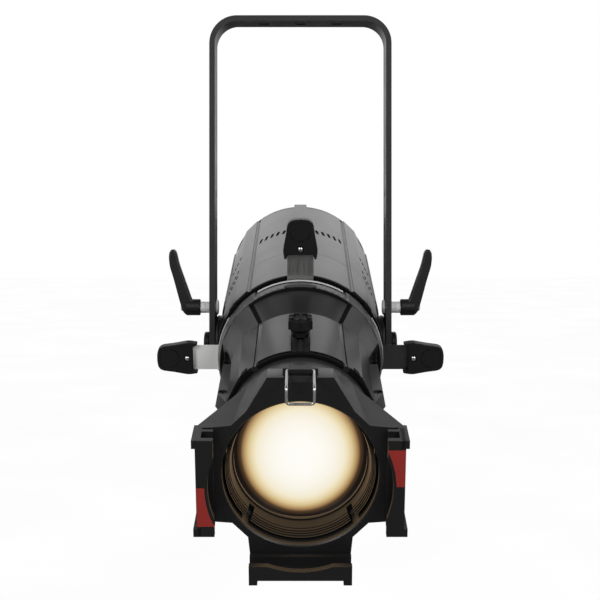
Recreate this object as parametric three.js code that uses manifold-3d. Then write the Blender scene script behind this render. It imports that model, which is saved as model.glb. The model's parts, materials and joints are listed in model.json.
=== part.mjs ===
// Ellipsoidal spotlight: LED engine, four-shutter gate, removable lens tube and a flat-bar yoke.
// Millimetres, +Z up. The origin is on the yoke's top face, ahead of the middle clamp hole, and the
// beam leaves towards -Y. The lamp head hangs on the tilt axis with its nose a little down.
import * as THREE from 'three';
import { mergeVertices } from 'three/addons/utils/BufferGeometryUtils.js';
import Module from 'manifold-3d';

const wasm = await Module();
wasm.setup();

const DEG = Math.PI / 180;
const GAP = 0.3;

// Yoke, measured from the tilt axis unless it says otherwise
const YOKE_DROP = 357.3;
const YOKE_HALF = 99;
const BAR_THICK = 6;
const BAR_WIDE = 38;
const YOKE_CORNER = 30;
const LEG_BELOW_AXIS = 24;
const CLAMP_HOLE_RADIUS = 6.5;
const CLAMP_PITCH = 40;
const MOUNT_AHEAD_OF_HOLE = 12.75;
const REST_TILT = 14.62 * DEG;
const LEG_INNER = YOKE_HALF - BAR_THICK;
const LEG_SLOT_WIDE = 6;
const LEG_SLOTS = [[164, 9], [130, 15]];

// Tilt axis hardware
const BOSS_RADIUS = 30;
const BOSS_FACE = 91.4;
const PIVOT_RADIUS = 6;
const PIVOT_CAP_RADIUS = 12;
const PIVOT_CAP_END = 105.8;
const POCKET_RADIUS = 52;
const POCKET_FLOOR = 84.6;
const LOCK_RISE = 39;
const LOCK_BOLT_RADIUS = 4;
const LOCK_HEAD_RADIUS = 8.2;
const LOCK_HEAD_START = 90;
const LOCK_BOLT_END = 131.8;
const SPACER_RADIUS = 6.3;
const LEVER_START = 110.3;
const LEVER_HUB_END = 125.7;
const LEVER_HUB_RADIUS = 9;
const LEVER_WIDE = 13;
const LOCK_SOCKET = { radius: 4, depth: 1.6 };
// The right lever's arm seen from the front: [x, height above the lock bolt]
const LEVER_ARM = [
  [114, -3], [114.5, 5], [119.6, 8.5], [126.5, 28], [133.3, 47], [136.6, 61], [138.8, 63.8],
  [141.6, 63.6], [143.4, 60], [143.7, 55], [142.6, 48], [138.6, 30], [133.6, 10], [129.4, -4],
  [125.7, -8.5], [118, -8.5],
];
const PIVOT_CAP_START = 100.6;
const CHAMFER = 1.4;

// Lamp housing, along the optical axis from the tilt axis (forward is positive)
const HOUSING_RADIUS = 90;
const SHOULDER_RADIUS = 91.4;
const SHOULDER_ANGLE = 51;
const PANEL_INNER = 82.8;
const CORE_OUTER = 82.5;
const CORE_INNER = 80;
const HOUSING_REAR = -264;
const HOUSING_FRONT = 39;
const REAR_FACE = -278;
const PANEL_SPLIT = 37;
const SPLIT_HALF = 1.1;
const RIB_HALF = 8;
const RIB_TOP = 93.9;
const CHEEK_RISE = 1.2;
const CHEEK_SPAN = 17;
const CHEEK_FRONT = -62;
const VENT_CUT = 20;
const TOP_VENT_AT = -144;
const TOP_VENT_ANGLES = [12.8, 17.6, 22.4, 27.2, 32];
const TOP_VENT_WIDE = 3.6;
const TOP_VENT_LONG = 11;
const TOP_VENT_SKEW = 28 * DEG;
const SIDE_VENT_ROWS = [-140, -97];
const SIDE_VENT_ANGLES = [50, 55, 60, 65, 70];
const SIDE_VENT_WIDE = 3.4;
const SIDE_VENT_LONG = 6;
const BASE_VENT_ANGLES = [-24, -12, 0, 12, 24];
const BASE_VENT_WIDE = 4;
const BASE_VENT_LONG = 26;

// Gate, shutters and ring
const GATE_REAR = 39.5;
const GATE_FRONT = 41.5;
const GATE_APERTURE = 38;
const RING_REAR = 45;
const RING_FRONT = 64.5;
const RING_RADIUS = 87;
const BLADE_THICK = 0.7;
const BLADE_PLANES = [42.0, 43.4];
const BLADE_TAIL_HALF = 13.75;
const GRIP_REAR = 39.9;
const GRIP_FRONT = 48.9;
const GRIP_TIP = 152;
const RIVET_AT = 120;

// Barrel and lens tube
const BARREL_REAR = 66;
const CONE_END = 112;
const BARREL_FRONT = 215;
const BARREL_BORE = 66.8;
const BORE_MOUTH = [76, 72];
const GROOVE_DEPTH = 1.2;
// The middle and half width of the grooves down the barrel: [x, s, half width]
const GROOVE_PATH = [[51.2, 65, 2.6], [39.6, 112, 2.1], [40.6, 216, 1.9]];
// The barrel's outline at four places: [s, [angle from the top, radius] from the top round to the side]
const BARREL_SECTIONS = [
  [BARREL_REAR, [
    [0, 81.6], [12, 81.6], [24, 81.7], [36, 82], [39.5, 84.6], [52, 86.3], [73, 84.6], [81, 81], [90, 80],
  ]],
  [80, [
    [0, 79], [11.5, 79], [23, 79], [34.5, 79.3], [37.8, 81.5], [51.5, 82.8], [73, 80], [80, 71.5], [90, 69.6],
  ]],
  [CONE_END, [
    [0, 73], [10.5, 73], [21, 73], [31, 73.1], [34, 74.2], [50, 74.6], [70, 72.6], [80, 70.2], [90, 69.2],
  ]],
  [BARREL_FRONT, [
    [0, 70.5], [11, 70.5], [22, 70.6], [33, 70.9], [36, 72], [51, 72.2], [70, 70.8], [80, 69.6], [90, 69],
  ]],
];
const TUBE_RADIUS = 66;
const TUBE_INNER = 63.5;
const TUBE_REAR = 122;
const TUBE_FRONT = 291;
const KNOB_AT = 164;
const KNOB_RADIUS = 11.5;
const KNOB_TOP = 88;
const CHANNEL_HALF = 8.75;
const CHANNEL_FLOOR = 68.3;
const FLANGE_HALF = 81;
const FLANGE_THICK = 5;
const FLANGE_SCREWS = [72.5, 149];
const FLANGE_SCREW_X = 75;
const FLANGE_SPAN = [67, 172, 187];
const SCREW = { hole: 2.3, shank: 1.9, head: 3.8, headHigh: 1.9, seat: 2, counterbore: 4.2 };
const CHANNEL_SPAN = [134, 132, 206];
const KNOB_SLOT_HALF = 3.6;

// Accessory holder
const HOLDER_REAR = 240;
const HOLDER_REAR_RADIUS = 68.4;
const HOLDER_FACE = 311;
const HOLDER_BORE = 65.1;
const TOWER_HALF = 42.6;
const TOWER_OUTER = 84.3;
const TOWER_CAP = 87.2;
const BOTTOM_TOWER_OUTER = 83;
const SLOT_WALL = 80;
const DIVIDER = [314, 318];
const FRONT_WALL = [330, 335.5];
const FRONT_WALL_INNER = 70;
const DIVIDER_INNER = 71;
const CAP_WIDE = 7;
const FRONT_ARC = 75;
const CLIP_WIRE = 1.25;
const CLIP_HALF = 11;
const CLIP_FRONT = 337.5;
const CLIP_LOW = 75;
const CLIP_PIVOT = [300, 88.3];

// ---------------------------------------------------------------- materials
function finish(color, roughness, metalness) {
  return new THREE.MeshStandardMaterial({ color, roughness, metalness });
}

const paint = finish(0x4a4a4a, 0.5, 0.3);
const paintDark = finish(0x2b2b2b, 0.5, 0.3);
const plastic = finish(0x141414, 0.45, 0);
const steel = finish(0xb8b8b8, 0.3, 1);
const darkSteel = finish(0x3a3a3a, 0.4, 0.8);
const aluminium = finish(0xa8a8a8, 0.4, 0.9);
const glass = finish(0xfff1cf, 0.05, 0);
const board = finish(0x1f5a36, 0.6, 0);
const nylon = finish(0xd8d8d0, 0.6, 0);

// ---------------------------------------------------------------- solids
// Inside the head and barrel a place is written (x, s, u): across, forward along the optical
// axis, and up. The scene's own axes there are x, -s, u.
function toSolid(geometry) {
  const bare = geometry.index ? geometry.toNonIndexed() : geometry.clone();
  bare.deleteAttribute('normal');
  bare.deleteAttribute('uv');
  const merged = mergeVertices(bare, 1e-4);
  const position = merged.attributes.position.array;
  const index = Array.from(merged.index.array);
  const triangles = [];
  let volume = 0;
  for (let i = 0; i < index.length; i += 3) {
    const [a, b, c] = [index[i], index[i + 1], index[i + 2]];
    if (a === b || b === c || a === c) continue;
    triangles.push(a, b, c);
    const [p, q, r] = [a, b, c].map((n) => new THREE.Vector3().fromArray(position, 3 * n));
    volume += p.dot(q.cross(r));
  }
  if (volume < 0) {
    for (let i = 0; i < triangles.length; i += 3) {
      [triangles[i + 1], triangles[i + 2]] = [triangles[i + 2], triangles[i + 1]];
    }
  }
  const mesh = new wasm.Mesh({
    numProp: 3,
    vertProperties: Float32Array.from(position),
    triVerts: Uint32Array.from(triangles),
  });
  return new wasm.Manifold(mesh);
}

function toMesh(name, solid, material) {
  const { vertProperties, triVerts } = solid.getMesh();
  const geometry = new THREE.BufferGeometry();
  geometry.setAttribute('position', new THREE.BufferAttribute(vertProperties, 3));
  geometry.setIndex(new THREE.BufferAttribute(triVerts, 1));
  geometry.computeVertexNormals();
  const mesh = new THREE.Mesh(geometry, material);
  mesh.name = name;
  return mesh;
}

function joined(...solids) {
  return solids.reduce((all, next) => all.add(next));
}

function cut(solid, ...cutters) {
  return cutters.reduce((left, cutter) => left.subtract(cutter), solid);
}

// Turned about the optical axis, from a closed outline of [s, radius] points
function turned(outline, segments = 36) {
  const points = outline.map(([s, radius]) => new THREE.Vector2(radius, -s));
  const last = outline[outline.length - 1];
  if (outline[0][1] > 0 || last[1] > 0) points.push(points[0].clone());
  return toSolid(new THREE.LatheGeometry(points, segments));
}

function box(x0, x1, s0, s1, u0, u1) {
  const geometry = new THREE.BoxGeometry(x1 - x0, s1 - s0, u1 - u0);
  geometry.translate((x0 + x1) / 2, -(s0 + s1) / 2, (u0 + u1) / 2);
  return toSolid(geometry);
}

function rod(from, to, radius, segments = 16, endRadius = radius) {
  const start = new THREE.Vector3(from[0], -from[1], from[2]);
  const end = new THREE.Vector3(to[0], -to[1], to[2]);
  const span = end.clone().sub(start);
  const geometry = new THREE.CylinderGeometry(endRadius, radius, span.length(), segments);
  geometry.applyQuaternion(
    new THREE.Quaternion().setFromUnitVectors(new THREE.Vector3(0, 1, 0), span.normalize()),
  );
  geometry.translate(...start.add(end).multiplyScalar(0.5).toArray());
  return toSolid(geometry);
}

function outlineShape(points) {
  return new THREE.Shape(points.map(([a, b]) => new THREE.Vector2(a, b)));
}

// An outline of [x, u] points, pushed along the optical axis from s0 to s1
function alongAxis(points, s0, s1) {
  const geometry = new THREE.ExtrudeGeometry(outlineShape(points), { depth: s1 - s0, bevelEnabled: false });
  geometry.rotateX(Math.PI / 2);
  geometry.translate(0, -s0, 0);
  return toSolid(geometry);
}

// An outline of [s, u] points, pushed across from x0 to x1
function across(points, x0, x1) {
  const flipped = points.map(([s, u]) => [-s, u]);
  const geometry = new THREE.ExtrudeGeometry(outlineShape(flipped), { depth: x1 - x0, bevelEnabled: false });
  geometry.rotateX(Math.PI / 2);
  geometry.rotateZ(Math.PI / 2);
  geometry.translate(x0, 0, 0);
  return toSolid(geometry);
}

// An outline of [x, s] points, pushed up from u0 to u1
function upward(points, u0, u1) {
  const flipped = points.map(([x, s]) => [x, -s]);
  const geometry = new THREE.ExtrudeGeometry(outlineShape(flipped), { depth: u1 - u0, bevelEnabled: false });
  geometry.translate(0, 0, u0);
  return toSolid(geometry);
}

// A closed solid through rings of [x, s, u] points, each ring flat and with the same number of points
function lofted(rings) {
  const count = rings[0].length;
  const positions = rings.flat().flatMap(([x, s, u]) => [x, -s, u]);
  const index = [];
  for (let ring = 0; ring < rings.length - 1; ring += 1) {
    for (let i = 0; i < count; i += 1) {
      const a = ring * count + i;
      const b = ring * count + ((i + 1) % count);
      index.push(a, b, a + count, b, b + count, a + count);
    }
  }
  const cap = (ring, reverse) => {
    const flat = rings[ring].map(([x, , u]) => new THREE.Vector2(x, u));
    const winding = Math.sign(THREE.ShapeUtils.area(flat)) * (reverse ? -1 : 1);
    for (const face of THREE.ShapeUtils.triangulateShape(flat, [])) {
      const same = Math.sign(THREE.ShapeUtils.area(face.map((n) => flat[n]))) === winding;
      index.push(...(same ? face : face.slice().reverse()).map((n) => ring * count + n));
    }
  };
  cap(0, true);
  cap(rings.length - 1, false);
  const geometry = new THREE.BufferGeometry();
  geometry.setAttribute('position', new THREE.Float32BufferAttribute(positions, 3));
  geometry.setIndex(index);
  return toSolid(geometry);
}

// Points of an arc about the axis, in degrees from straight up towards +x
function arc(radius, from, to, steps) {
  return Array.from({ length: steps + 1 }, (_, i) => polar(radius, from + ((to - from) * i) / steps));
}

function polar(radius, degrees) {
  return [radius * Math.sin(degrees * DEG), radius * Math.cos(degrees * DEG)];
}

function shell(inner, outer, from, to, s0, s1, steps) {
  return alongAxis([...arc(outer, from, to, steps), ...arc(inner, to, from, steps)], s0, s1);
}

function capsule(length, width, steps = 3) {
  const half = width / 2;
  const straight = length / 2 - half;
  const end = (sign) =>
    Array.from({ length: steps + 1 }, (_, i) => {
      const angle = (Math.PI * i) / steps;
      return [sign * half * Math.cos(angle), sign * (straight + half * Math.sin(angle))];
    });
  return [...end(1), ...end(-1)];
}

// A copy of a cutter's geometry turned about the optical axis and stood at one radius
function spoke(geometry, degrees, radius, s) {
  const placed = geometry.clone();
  placed.translate(0, -s, radius);
  placed.rotateY(degrees * DEG);
  return toSolid(placed);
}

// ---------------------------------------------------------------- yoke and its hardware
function yoke() {
  const top = YOKE_DROP;
  const bottom = -LEG_BELOW_AXIS;
  const bend = (radius, half, height) => {
    const centre = [half - radius, height - radius];
    return Array.from({ length: 7 }, (_, i) => {
      const angle = (Math.PI / 2) * (i / 6);
      return [centre[0] + radius * Math.cos(angle), centre[1] + radius * Math.sin(angle)];
    });
  };
  const outer = bend(YOKE_CORNER, YOKE_HALF, top);
  const inner = bend(YOKE_CORNER - BAR_THICK, LEG_INNER, top - BAR_THICK);
  const mirrored = (points) => points.map(([x, z]) => [-x, z]).reverse();
  const profile = [
    [YOKE_HALF, bottom],
    ...outer,
    ...mirrored(outer),
    [-YOKE_HALF, bottom],
    [-LEG_INNER, bottom],
    ...mirrored(inner).reverse(),
    ...inner.slice().reverse(),
    [LEG_INNER, bottom],
  ];
  const half = BAR_WIDE / 2;
  const bar = alongAxis(profile, -half, half);
  const endArc = Array.from({ length: 9 }, (_, i) => {
    const angle = Math.PI + (Math.PI * i) / 8;
    return [half * Math.cos(angle), bottom + half + half * Math.sin(angle)];
  });
  const sideView = [[half, top + 1], [-half, top + 1], ...endArc];
  const rounded = bar.intersect(across(sideView, -YOKE_HALF - 1, YOKE_HALF + 1));
  const holes = [-CLAMP_PITCH, 0, CLAMP_PITCH].map((x) =>
    rod([x, 0, top - BAR_THICK - 1], [x, 0, top + 1], CLAMP_HOLE_RADIUS),
  );
  const through = (z, radius) => rod([-YOKE_HALF - 1, 0, z], [YOKE_HALF + 1, 0, z], radius);
  const legSlots = LEG_SLOTS.map(([z, length]) =>
    across(capsule(length, LEG_SLOT_WIDE).map(([s, u]) => [s, u + z]), -YOKE_HALF - 1, YOKE_HALF + 1),
  );
  return cut(
    rounded,
    ...holes,
    through(0, PIVOT_RADIUS + GAP),
    through(LOCK_RISE, LOCK_BOLT_RADIUS + GAP),
    ...legSlots,
  );
}

// The pieces beside each leg are drawn on the right and mirrored by the side's sign
function lockBolt(side) {
  const z = LOCK_RISE;
  const head = rod([side * LOCK_HEAD_START, 0, z], [side * (LEG_INNER - GAP), 0, z], LOCK_HEAD_RADIUS);
  const shank = rod([side * (LEG_INNER - GAP - 1), 0, z], [side * LOCK_BOLT_END, 0, z], LOCK_BOLT_RADIUS);
  const socketEnd = LOCK_HEAD_START + LOCK_SOCKET.depth;
  const socket = rod([side * (LOCK_HEAD_START - 1), 0, z], [side * socketEnd, 0, z], LOCK_SOCKET.radius, 6);
  return cut(joined(head, shank), socket);
}

function collar(side, start, end, radius, bore, z) {
  const body = rod([side * start, 0, z], [side * end, 0, z], radius);
  return cut(body, rod([side * (start - 1), 0, z], [side * (end + 1), 0, z], bore));
}

function lever(side) {
  const z = LOCK_RISE;
  const hub = rod([side * LEVER_START, 0, z], [side * LEVER_HUB_END, 0, z], LEVER_HUB_RADIUS);
  const arm = alongAxis(LEVER_ARM.map(([x, u]) => [side * x, z + u]), -LEVER_WIDE / 2, LEVER_WIDE / 2);
  const bore = rod([side * YOKE_HALF, 0, z], [side * LOCK_BOLT_END, 0, z], LOCK_BOLT_RADIUS + GAP);
  return cut(joined(hub, arm), bore);
}

// A disc across the head with a chamfered outer rim, from x = start to x = end
function capped(side, start, end, radius, segments) {
  const shoulder = end - CHAMFER;
  return joined(
    rod([side * start, 0, 0], [side * shoulder, 0, 0], radius, segments),
    rod([side * (shoulder - 0.1), 0, 0], [side * end, 0, 0], radius, segments, radius - CHAMFER),
  );
}

function tiltBoss(side) {
  const body = capped(side, POCKET_FLOOR + GAP, BOSS_FACE, BOSS_RADIUS, 28);
  return cut(body, rod([side * (POCKET_FLOOR - 1), 0, 0], [side * LEG_INNER, 0, 0], PIVOT_RADIUS + GAP));
}

function pivotBolt(side) {
  const shank = rod([side * (POCKET_FLOOR + 1), 0, 0], [side * (PIVOT_CAP_START + 1), 0, 0], PIVOT_RADIUS);
  return joined(shank, capped(side, PIVOT_CAP_START, PIVOT_CAP_END, PIVOT_CAP_RADIUS, 20));
}

// ---------------------------------------------------------------- lamp housing
function housingCore() {
  return turned([
    [HOUSING_REAR, CORE_INNER], [HOUSING_REAR, CORE_OUTER], [HOUSING_FRONT, CORE_OUTER],
    [HOUSING_FRONT, CORE_INNER],
  ]);
}

function topPanel() {
  const edge = PANEL_SPLIT - SPLIT_HALF;
  const plate = shell(PANEL_INNER, HOUSING_RADIUS, -edge, edge, HOUSING_REAR, HOUSING_FRONT, 10);
  const rib = box(-RIB_HALF, RIB_HALF, HOUSING_REAR, HOUSING_FRONT, HOUSING_RADIUS - 3, RIB_TOP);
  const vents = TOP_VENT_ANGLES.flatMap((angle) =>
    [-1, 1].map((side) => {
      const slot = new THREE.BoxGeometry(TOP_VENT_WIDE, TOP_VENT_LONG, VENT_CUT);
      slot.rotateZ(side * TOP_VENT_SKEW);
      return spoke(slot, side * angle, HOUSING_RADIUS, TOP_VENT_AT);
    }),
  );
  return cut(joined(plate, rib), ...vents);
}

// Each side panel has a flat shoulder next to the top panel and next to the bottom panel
function sidePanel(side) {
  const from = PANEL_SPLIT + SPLIT_HALF;
  const flank = 90 - CHEEK_SPAN;
  const shoulder = [from, SHOULDER_ANGLE].map((angle) => polar(SHOULDER_RADIUS, side * angle));
  const outline = [
    ...shoulder, ...arc(HOUSING_RADIUS, side * flank, side * (180 - flank), 4),
    ...shoulder.map(([x, u]) => [x, -u]).reverse(), ...arc(PANEL_INNER, side * (180 - from), side * from, 14),
  ];
  const plate = joined(
    alongAxis(outline, HOUSING_REAR, HOUSING_FRONT),
    shell(
      HOUSING_RADIUS - 2, HOUSING_RADIUS + CHEEK_RISE, side * (90 - CHEEK_SPAN), side * (90 + CHEEK_SPAN),
      HOUSING_REAR, CHEEK_FRONT, 4,
    ),
  );
  const slot = new THREE.BoxGeometry(SIDE_VENT_WIDE, SIDE_VENT_LONG, VENT_CUT);
  const vents = SIDE_VENT_ROWS.flatMap((s) =>
    SIDE_VENT_ANGLES.map((angle) => spoke(slot, side * angle, HOUSING_RADIUS, s)),
  );
  const pocket = rod([side * POCKET_FLOOR, 0, 0], [side * 100, 0, 0], POCKET_RADIUS, 32);
  return cut(plate, ...vents, pocket);
}

function bottomPanel() {
  const from = 180 - PANEL_SPLIT + SPLIT_HALF;
  const plate = shell(PANEL_INNER, HOUSING_RADIUS, from, 360 - from, HOUSING_REAR, HOUSING_FRONT, 12);
  const slot = new THREE.BoxGeometry(BASE_VENT_WIDE, BASE_VENT_LONG, VENT_CUT);
  const vents = BASE_VENT_ANGLES.map((angle) => spoke(slot, 180 + angle, HOUSING_RADIUS, TOP_VENT_AT));
  return cut(plate, ...vents);
}

const DISPLAY = { half: 29, low: 24, high: 52 };
const BUTTONS = [-27, -9, 9, 27];
const BUTTON_U = 10;
const BUTTON_RADIUS = 4.2;
const BUTTON_FLANGE = 5.8;
const BUTTON_TRAVEL = [REAR_FACE - 2, REAR_FACE + 6.8, REAR_FACE + 9];
const EYE_U = 70;
const EYE_NECK = 3;
const EYE_RING = [9, 2.5];
const CONNECTORS = {
  power_inlet: [-30, -18, 12.5],
  power_outlet: [30, -18, 12.5],
  data_in: [-24, -52, 11],
  data_out: [24, -52, 11],
};

function rearCover() {
  const start = HOUSING_REAR - GAP;
  const plate = turned([
    [REAR_FACE, 0], [REAR_FACE, 84], [REAR_FACE + 3, 88.5], [start, 89.6], [start, 84],
    [REAR_FACE + 5, 84], [REAR_FACE + 5, 0],
  ]);
  const { half, low, high } = DISPLAY;
  const back = REAR_FACE - 6;
  const ahead = HOUSING_REAR + 10;
  const through = (x, u, radius) => rod([x, back, u], [x, ahead, u], radius + GAP);
  return cut(
    plate,
    box(-half - GAP, half + GAP, back, ahead, low - GAP, high + GAP),
    ...BUTTONS.map((x) => through(x, BUTTON_U, BUTTON_RADIUS)),
    ...Object.values(CONNECTORS).map(([x, u, radius]) => through(x, u, radius)),
    through(0, EYE_U, EYE_NECK),
  );
}

function displayWindow() {
  const { half, low, high } = DISPLAY;
  return box(-half, half, REAR_FACE + 0.6, REAR_FACE + 4, low, high);
}

function menuButton(x) {
  const [outer, flange, inner] = BUTTON_TRAVEL;
  return joined(
    rod([x, outer, BUTTON_U], [x, inner, BUTTON_U], BUTTON_RADIUS),
    rod([x, flange, BUTTON_U], [x, inner, BUTTON_U], BUTTON_FLANGE),
  );
}

function connector([x, u, radius], sides) {
  const lip = REAR_FACE - GAP;
  const floor = REAR_FACE + 6;
  const body = joined(
    rod([x, lip - 3.7, u], [x, REAR_FACE + 18, u], radius, 20),
    rod([x, lip - 2, u], [x, lip, u], radius + 2.2, 20),
  );
  const socket = cut(
    rod([x, lip - 6, u], [x, floor, u], radius - 2.6, sides),
    rod([x, lip - 7, u], [x, floor + 1, u], radius - 6.4, 16),
  );
  return cut(body, socket);
}

function safetyEye() {
  const ring = new THREE.TorusGeometry(...EYE_RING, 8, 16);
  ring.rotateY(Math.PI / 2);
  ring.translate(0, -REAR_FACE + 15.5, EYE_U);
  const neck = rod([0, REAR_FACE - 8, EYE_U], [0, REAR_FACE + 10, EYE_U], EYE_NECK);
  const shoulder = rod([0, REAR_FACE - 4.2, EYE_U], [0, REAR_FACE - GAP, EYE_U], EYE_NECK * 2);
  return joined(toSolid(ring), neck, shoulder);
}

// ---------------------------------------------------------------- inside the housing
const FAN = { rear: -190, front: -165, wall: [71, 79.4], hub: 22, hubThick: 3, strut: [6, 3, 60] };
const ROTOR = { rear: -185.5, front: -167.2, hub: 20, tip: 69.5, blades: 7, blade: [3, 24, 52], pitch: 50 };
const HEAT_SINK = { rear: -158, front: -66, core: 30, tip: 79.3, fins: 16, baseRadius: 40, baseFront: -62 };
const LED = { rear: -61.7, front: -59, half: 26 };

function fanFrame() {
  const { rear, front, wall, hub, hubThick, strut } = FAN;
  const middle = (hub + wall[0]) / 2;
  return joined(
    plate(rear, front, ...wall),
    turned([[rear, 0], [rear, hub], [rear + hubThick, hub], [rear + hubThick, 0]], 32),
    ...[0, 90, 180, 270].map((angle) =>
      spoke(new THREE.BoxGeometry(...strut), angle, middle, rear + strut[1] / 2),
    ),
  );
}

function fanRotor() {
  const { rear, front, hub, tip, blades, blade, pitch } = ROTOR;
  const middle = (rear + front) / 2;
  const vane = new THREE.BoxGeometry(...blade);
  vane.rotateZ(pitch * DEG);
  const vanes = Array.from({ length: blades }, (_, i) =>
    spoke(vane, (360 / blades) * i, (hub + tip) / 2, middle),
  );
  const core = turned([[rear, 0], [rear, hub], [front, hub], [front, 0]], 32);
  const trim = turned([[rear, 0], [rear, tip], [front, tip], [front, 0]]);
  return joined(core, ...vanes).intersect(trim);
}

function heatSink() {
  const { rear, front, core, tip, fins, baseRadius, baseFront } = HEAT_SINK;
  const pitch = 360 / fins;
  const outline = [];
  for (let i = 0; i < fins; i += 1) {
    const middle = pitch * i;
    outline.push(...arc(core, middle - pitch / 2, middle - 3, 1));
    outline.push(...arc(tip, middle - 0.9, middle + 0.9, 1));
    outline.push(arc(core, middle + 3, middle + 3, 1)[0]);
  }
  const base = [[front - 0.5, 0], [front - 0.5, baseRadius], [baseFront, baseRadius], [baseFront, 0]];
  return joined(alongAxis(outline, rear, front), turned(base, 32));
}

function ledModule() {
  const { rear, front, half } = LED;
  const base = alongAxis([[-half, -half], [half, -half], [half, half], [-half, half]], rear, front);
  const emitter = turned([[front - 0.2, 0], [front - 0.2, 15], [-57, 15], [-55.5, 8], [-55, 0]], 32);
  return joined(base, emitter);
}

// The board lies flat, with two coils and a capacitor standing on it
function driverBoard() {
  const [bottom, top] = [-34, -32];
  const seat = top - 0.2;
  return joined(
    box(-60, 60, -252, -200, bottom, top),
    box(-50, -20, -245, -209, seat, -14),
    box(-8, 16, -247, -221, seat, -20),
    rod([34, -226, seat], [34, -226, -8], 11),
  );
}

function collimator() {
  return turned([[-58.7, 31], [-58.7, 79.3], [-55, 79.3], [-55, 36], [-22, 52], [-22, 48.5], [-54, 31]], 28);
}

function plate(s0, s1, inner, outer) {
  return turned([[s0, inner], [s0, outer], [s1, outer], [s1, inner]]);
}

// A lens that bulges by `bulge` on both faces from a rim of `rim` thickness
function lens(middle, radius, rim, bulge, steps = 3) {
  const face = (sign) =>
    Array.from({ length: steps + 1 }, (_, i) => {
      const r = (radius * i) / steps;
      return [middle + sign * (rim / 2 + bulge * (1 - (r / radius) ** 2)), r];
    });
  return turned([...face(-1), ...face(1).reverse()], 28);
}

// ---------------------------------------------------------------- gate, ring and shutters
function gatePlate() {
  return plate(GATE_REAR, GATE_FRONT, GATE_APERTURE, 82);
}

function shutterRing() {
  const ring = turned([
    [RING_REAR, 72], [RING_REAR, RING_RADIUS], [RING_REAR + 8, RING_RADIUS], [RING_FRONT, 84.5],
    [RING_FRONT, 79], [RING_REAR + 3, 79], [RING_REAR + 3, 72],
  ]);
  const pads = [45, 135, 225, 315].map((middle) =>
    shell(73, 80, middle - 8, middle + 8, GATE_FRONT + GAP, RING_REAR + 1, 2),
  );
  const slot = box(-17, 17, 60, 70, 81, 95);
  return cut(joined(ring, ...pads), slot);
}

function blade(plane) {
  const tail = BLADE_TAIL_HALF;
  const outline = [
    [-32, 40], [32, 40], [32, 62], [28, 66], [tail, 66], [tail, 133], [-tail, 133], [-tail, 66],
    [-28, 66], [-32, 62],
  ];
  return alongAxis(outline, plane, plane + BLADE_THICK);
}

function grip(plane) {
  const right = [
    [6, GRIP_TIP], [10.6, GRIP_TIP - 1], [13, GRIP_TIP - 4], [14.4, 138], [17.75, 119.5], [17.75, 117],
    [16.4, 109], [14.4, 109], [13.2, 112.5],
  ];
  const left = right.map(([x, u]) => [-x, u]).reverse();
  const body = alongAxis([...right, ...left], GRIP_REAR, GRIP_FRONT);
  const slit = box(
    -BLADE_TAIL_HALF - GAP, BLADE_TAIL_HALF + GAP, plane - GAP, plane + BLADE_THICK + GAP, 100, 133.5,
  );
  const thumb = [GRIP_FRONT - 1.2, GRIP_REAR - 1].map((s) =>
    rod([0, s, 140], [0, s + 2.2, 140], 10.5, 16),
  );
  const dimple = rod([0, GRIP_FRONT - 1, RIVET_AT], [0, GRIP_FRONT + 1, RIVET_AT], 3.2, 10);
  return cut(body, slit, ...thumb, dimple);
}

// ---------------------------------------------------------------- barrel
// The barrel's outer form, or one lying deeper under its skin
function barrelForm(inset) {
  const rings = BARREL_SECTIONS.map(([s, quarter]) => {
    const down = quarter.slice(0, -1).map(([angle, radius]) => [180 - angle, radius]).reverse();
    const right = [...quarter, ...down];
    const left = right.slice(1, -1).map(([angle, radius]) => [-angle, radius]).reverse();
    return [...right, ...left].map(([angle, radius]) => {
      const [x, u] = polar(radius - inset, angle);
      return [x, s, u];
    });
  });
  return lofted(rings);
}

function barrelTube() {
  const [mouth, mouthEnd] = BORE_MOUTH;
  const bore = turned([
    [BARREL_REAR - 1, 0], [BARREL_REAR - 1, mouth], [BARREL_REAR, mouth], [mouthEnd, BARREL_BORE],
    [BARREL_FRONT + 1, BARREL_BORE], [BARREL_FRONT + 1, 0],
  ]);
  const core = barrelForm(GROOVE_DEPTH);
  const grooves = [-1, 1].map((side) => {
    const inner = GROOVE_PATH.map(([x, s, half]) => [side * (x - half), s]);
    const outer = GROOVE_PATH.map(([x, s, half]) => [side * (x + half), s]).reverse();
    return upward([...inner, ...outer], -HOUSING_RADIUS, HOUSING_RADIUS).subtract(core);
  });
  return cut(barrelForm(0), bore, ...grooves);
}

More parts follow.
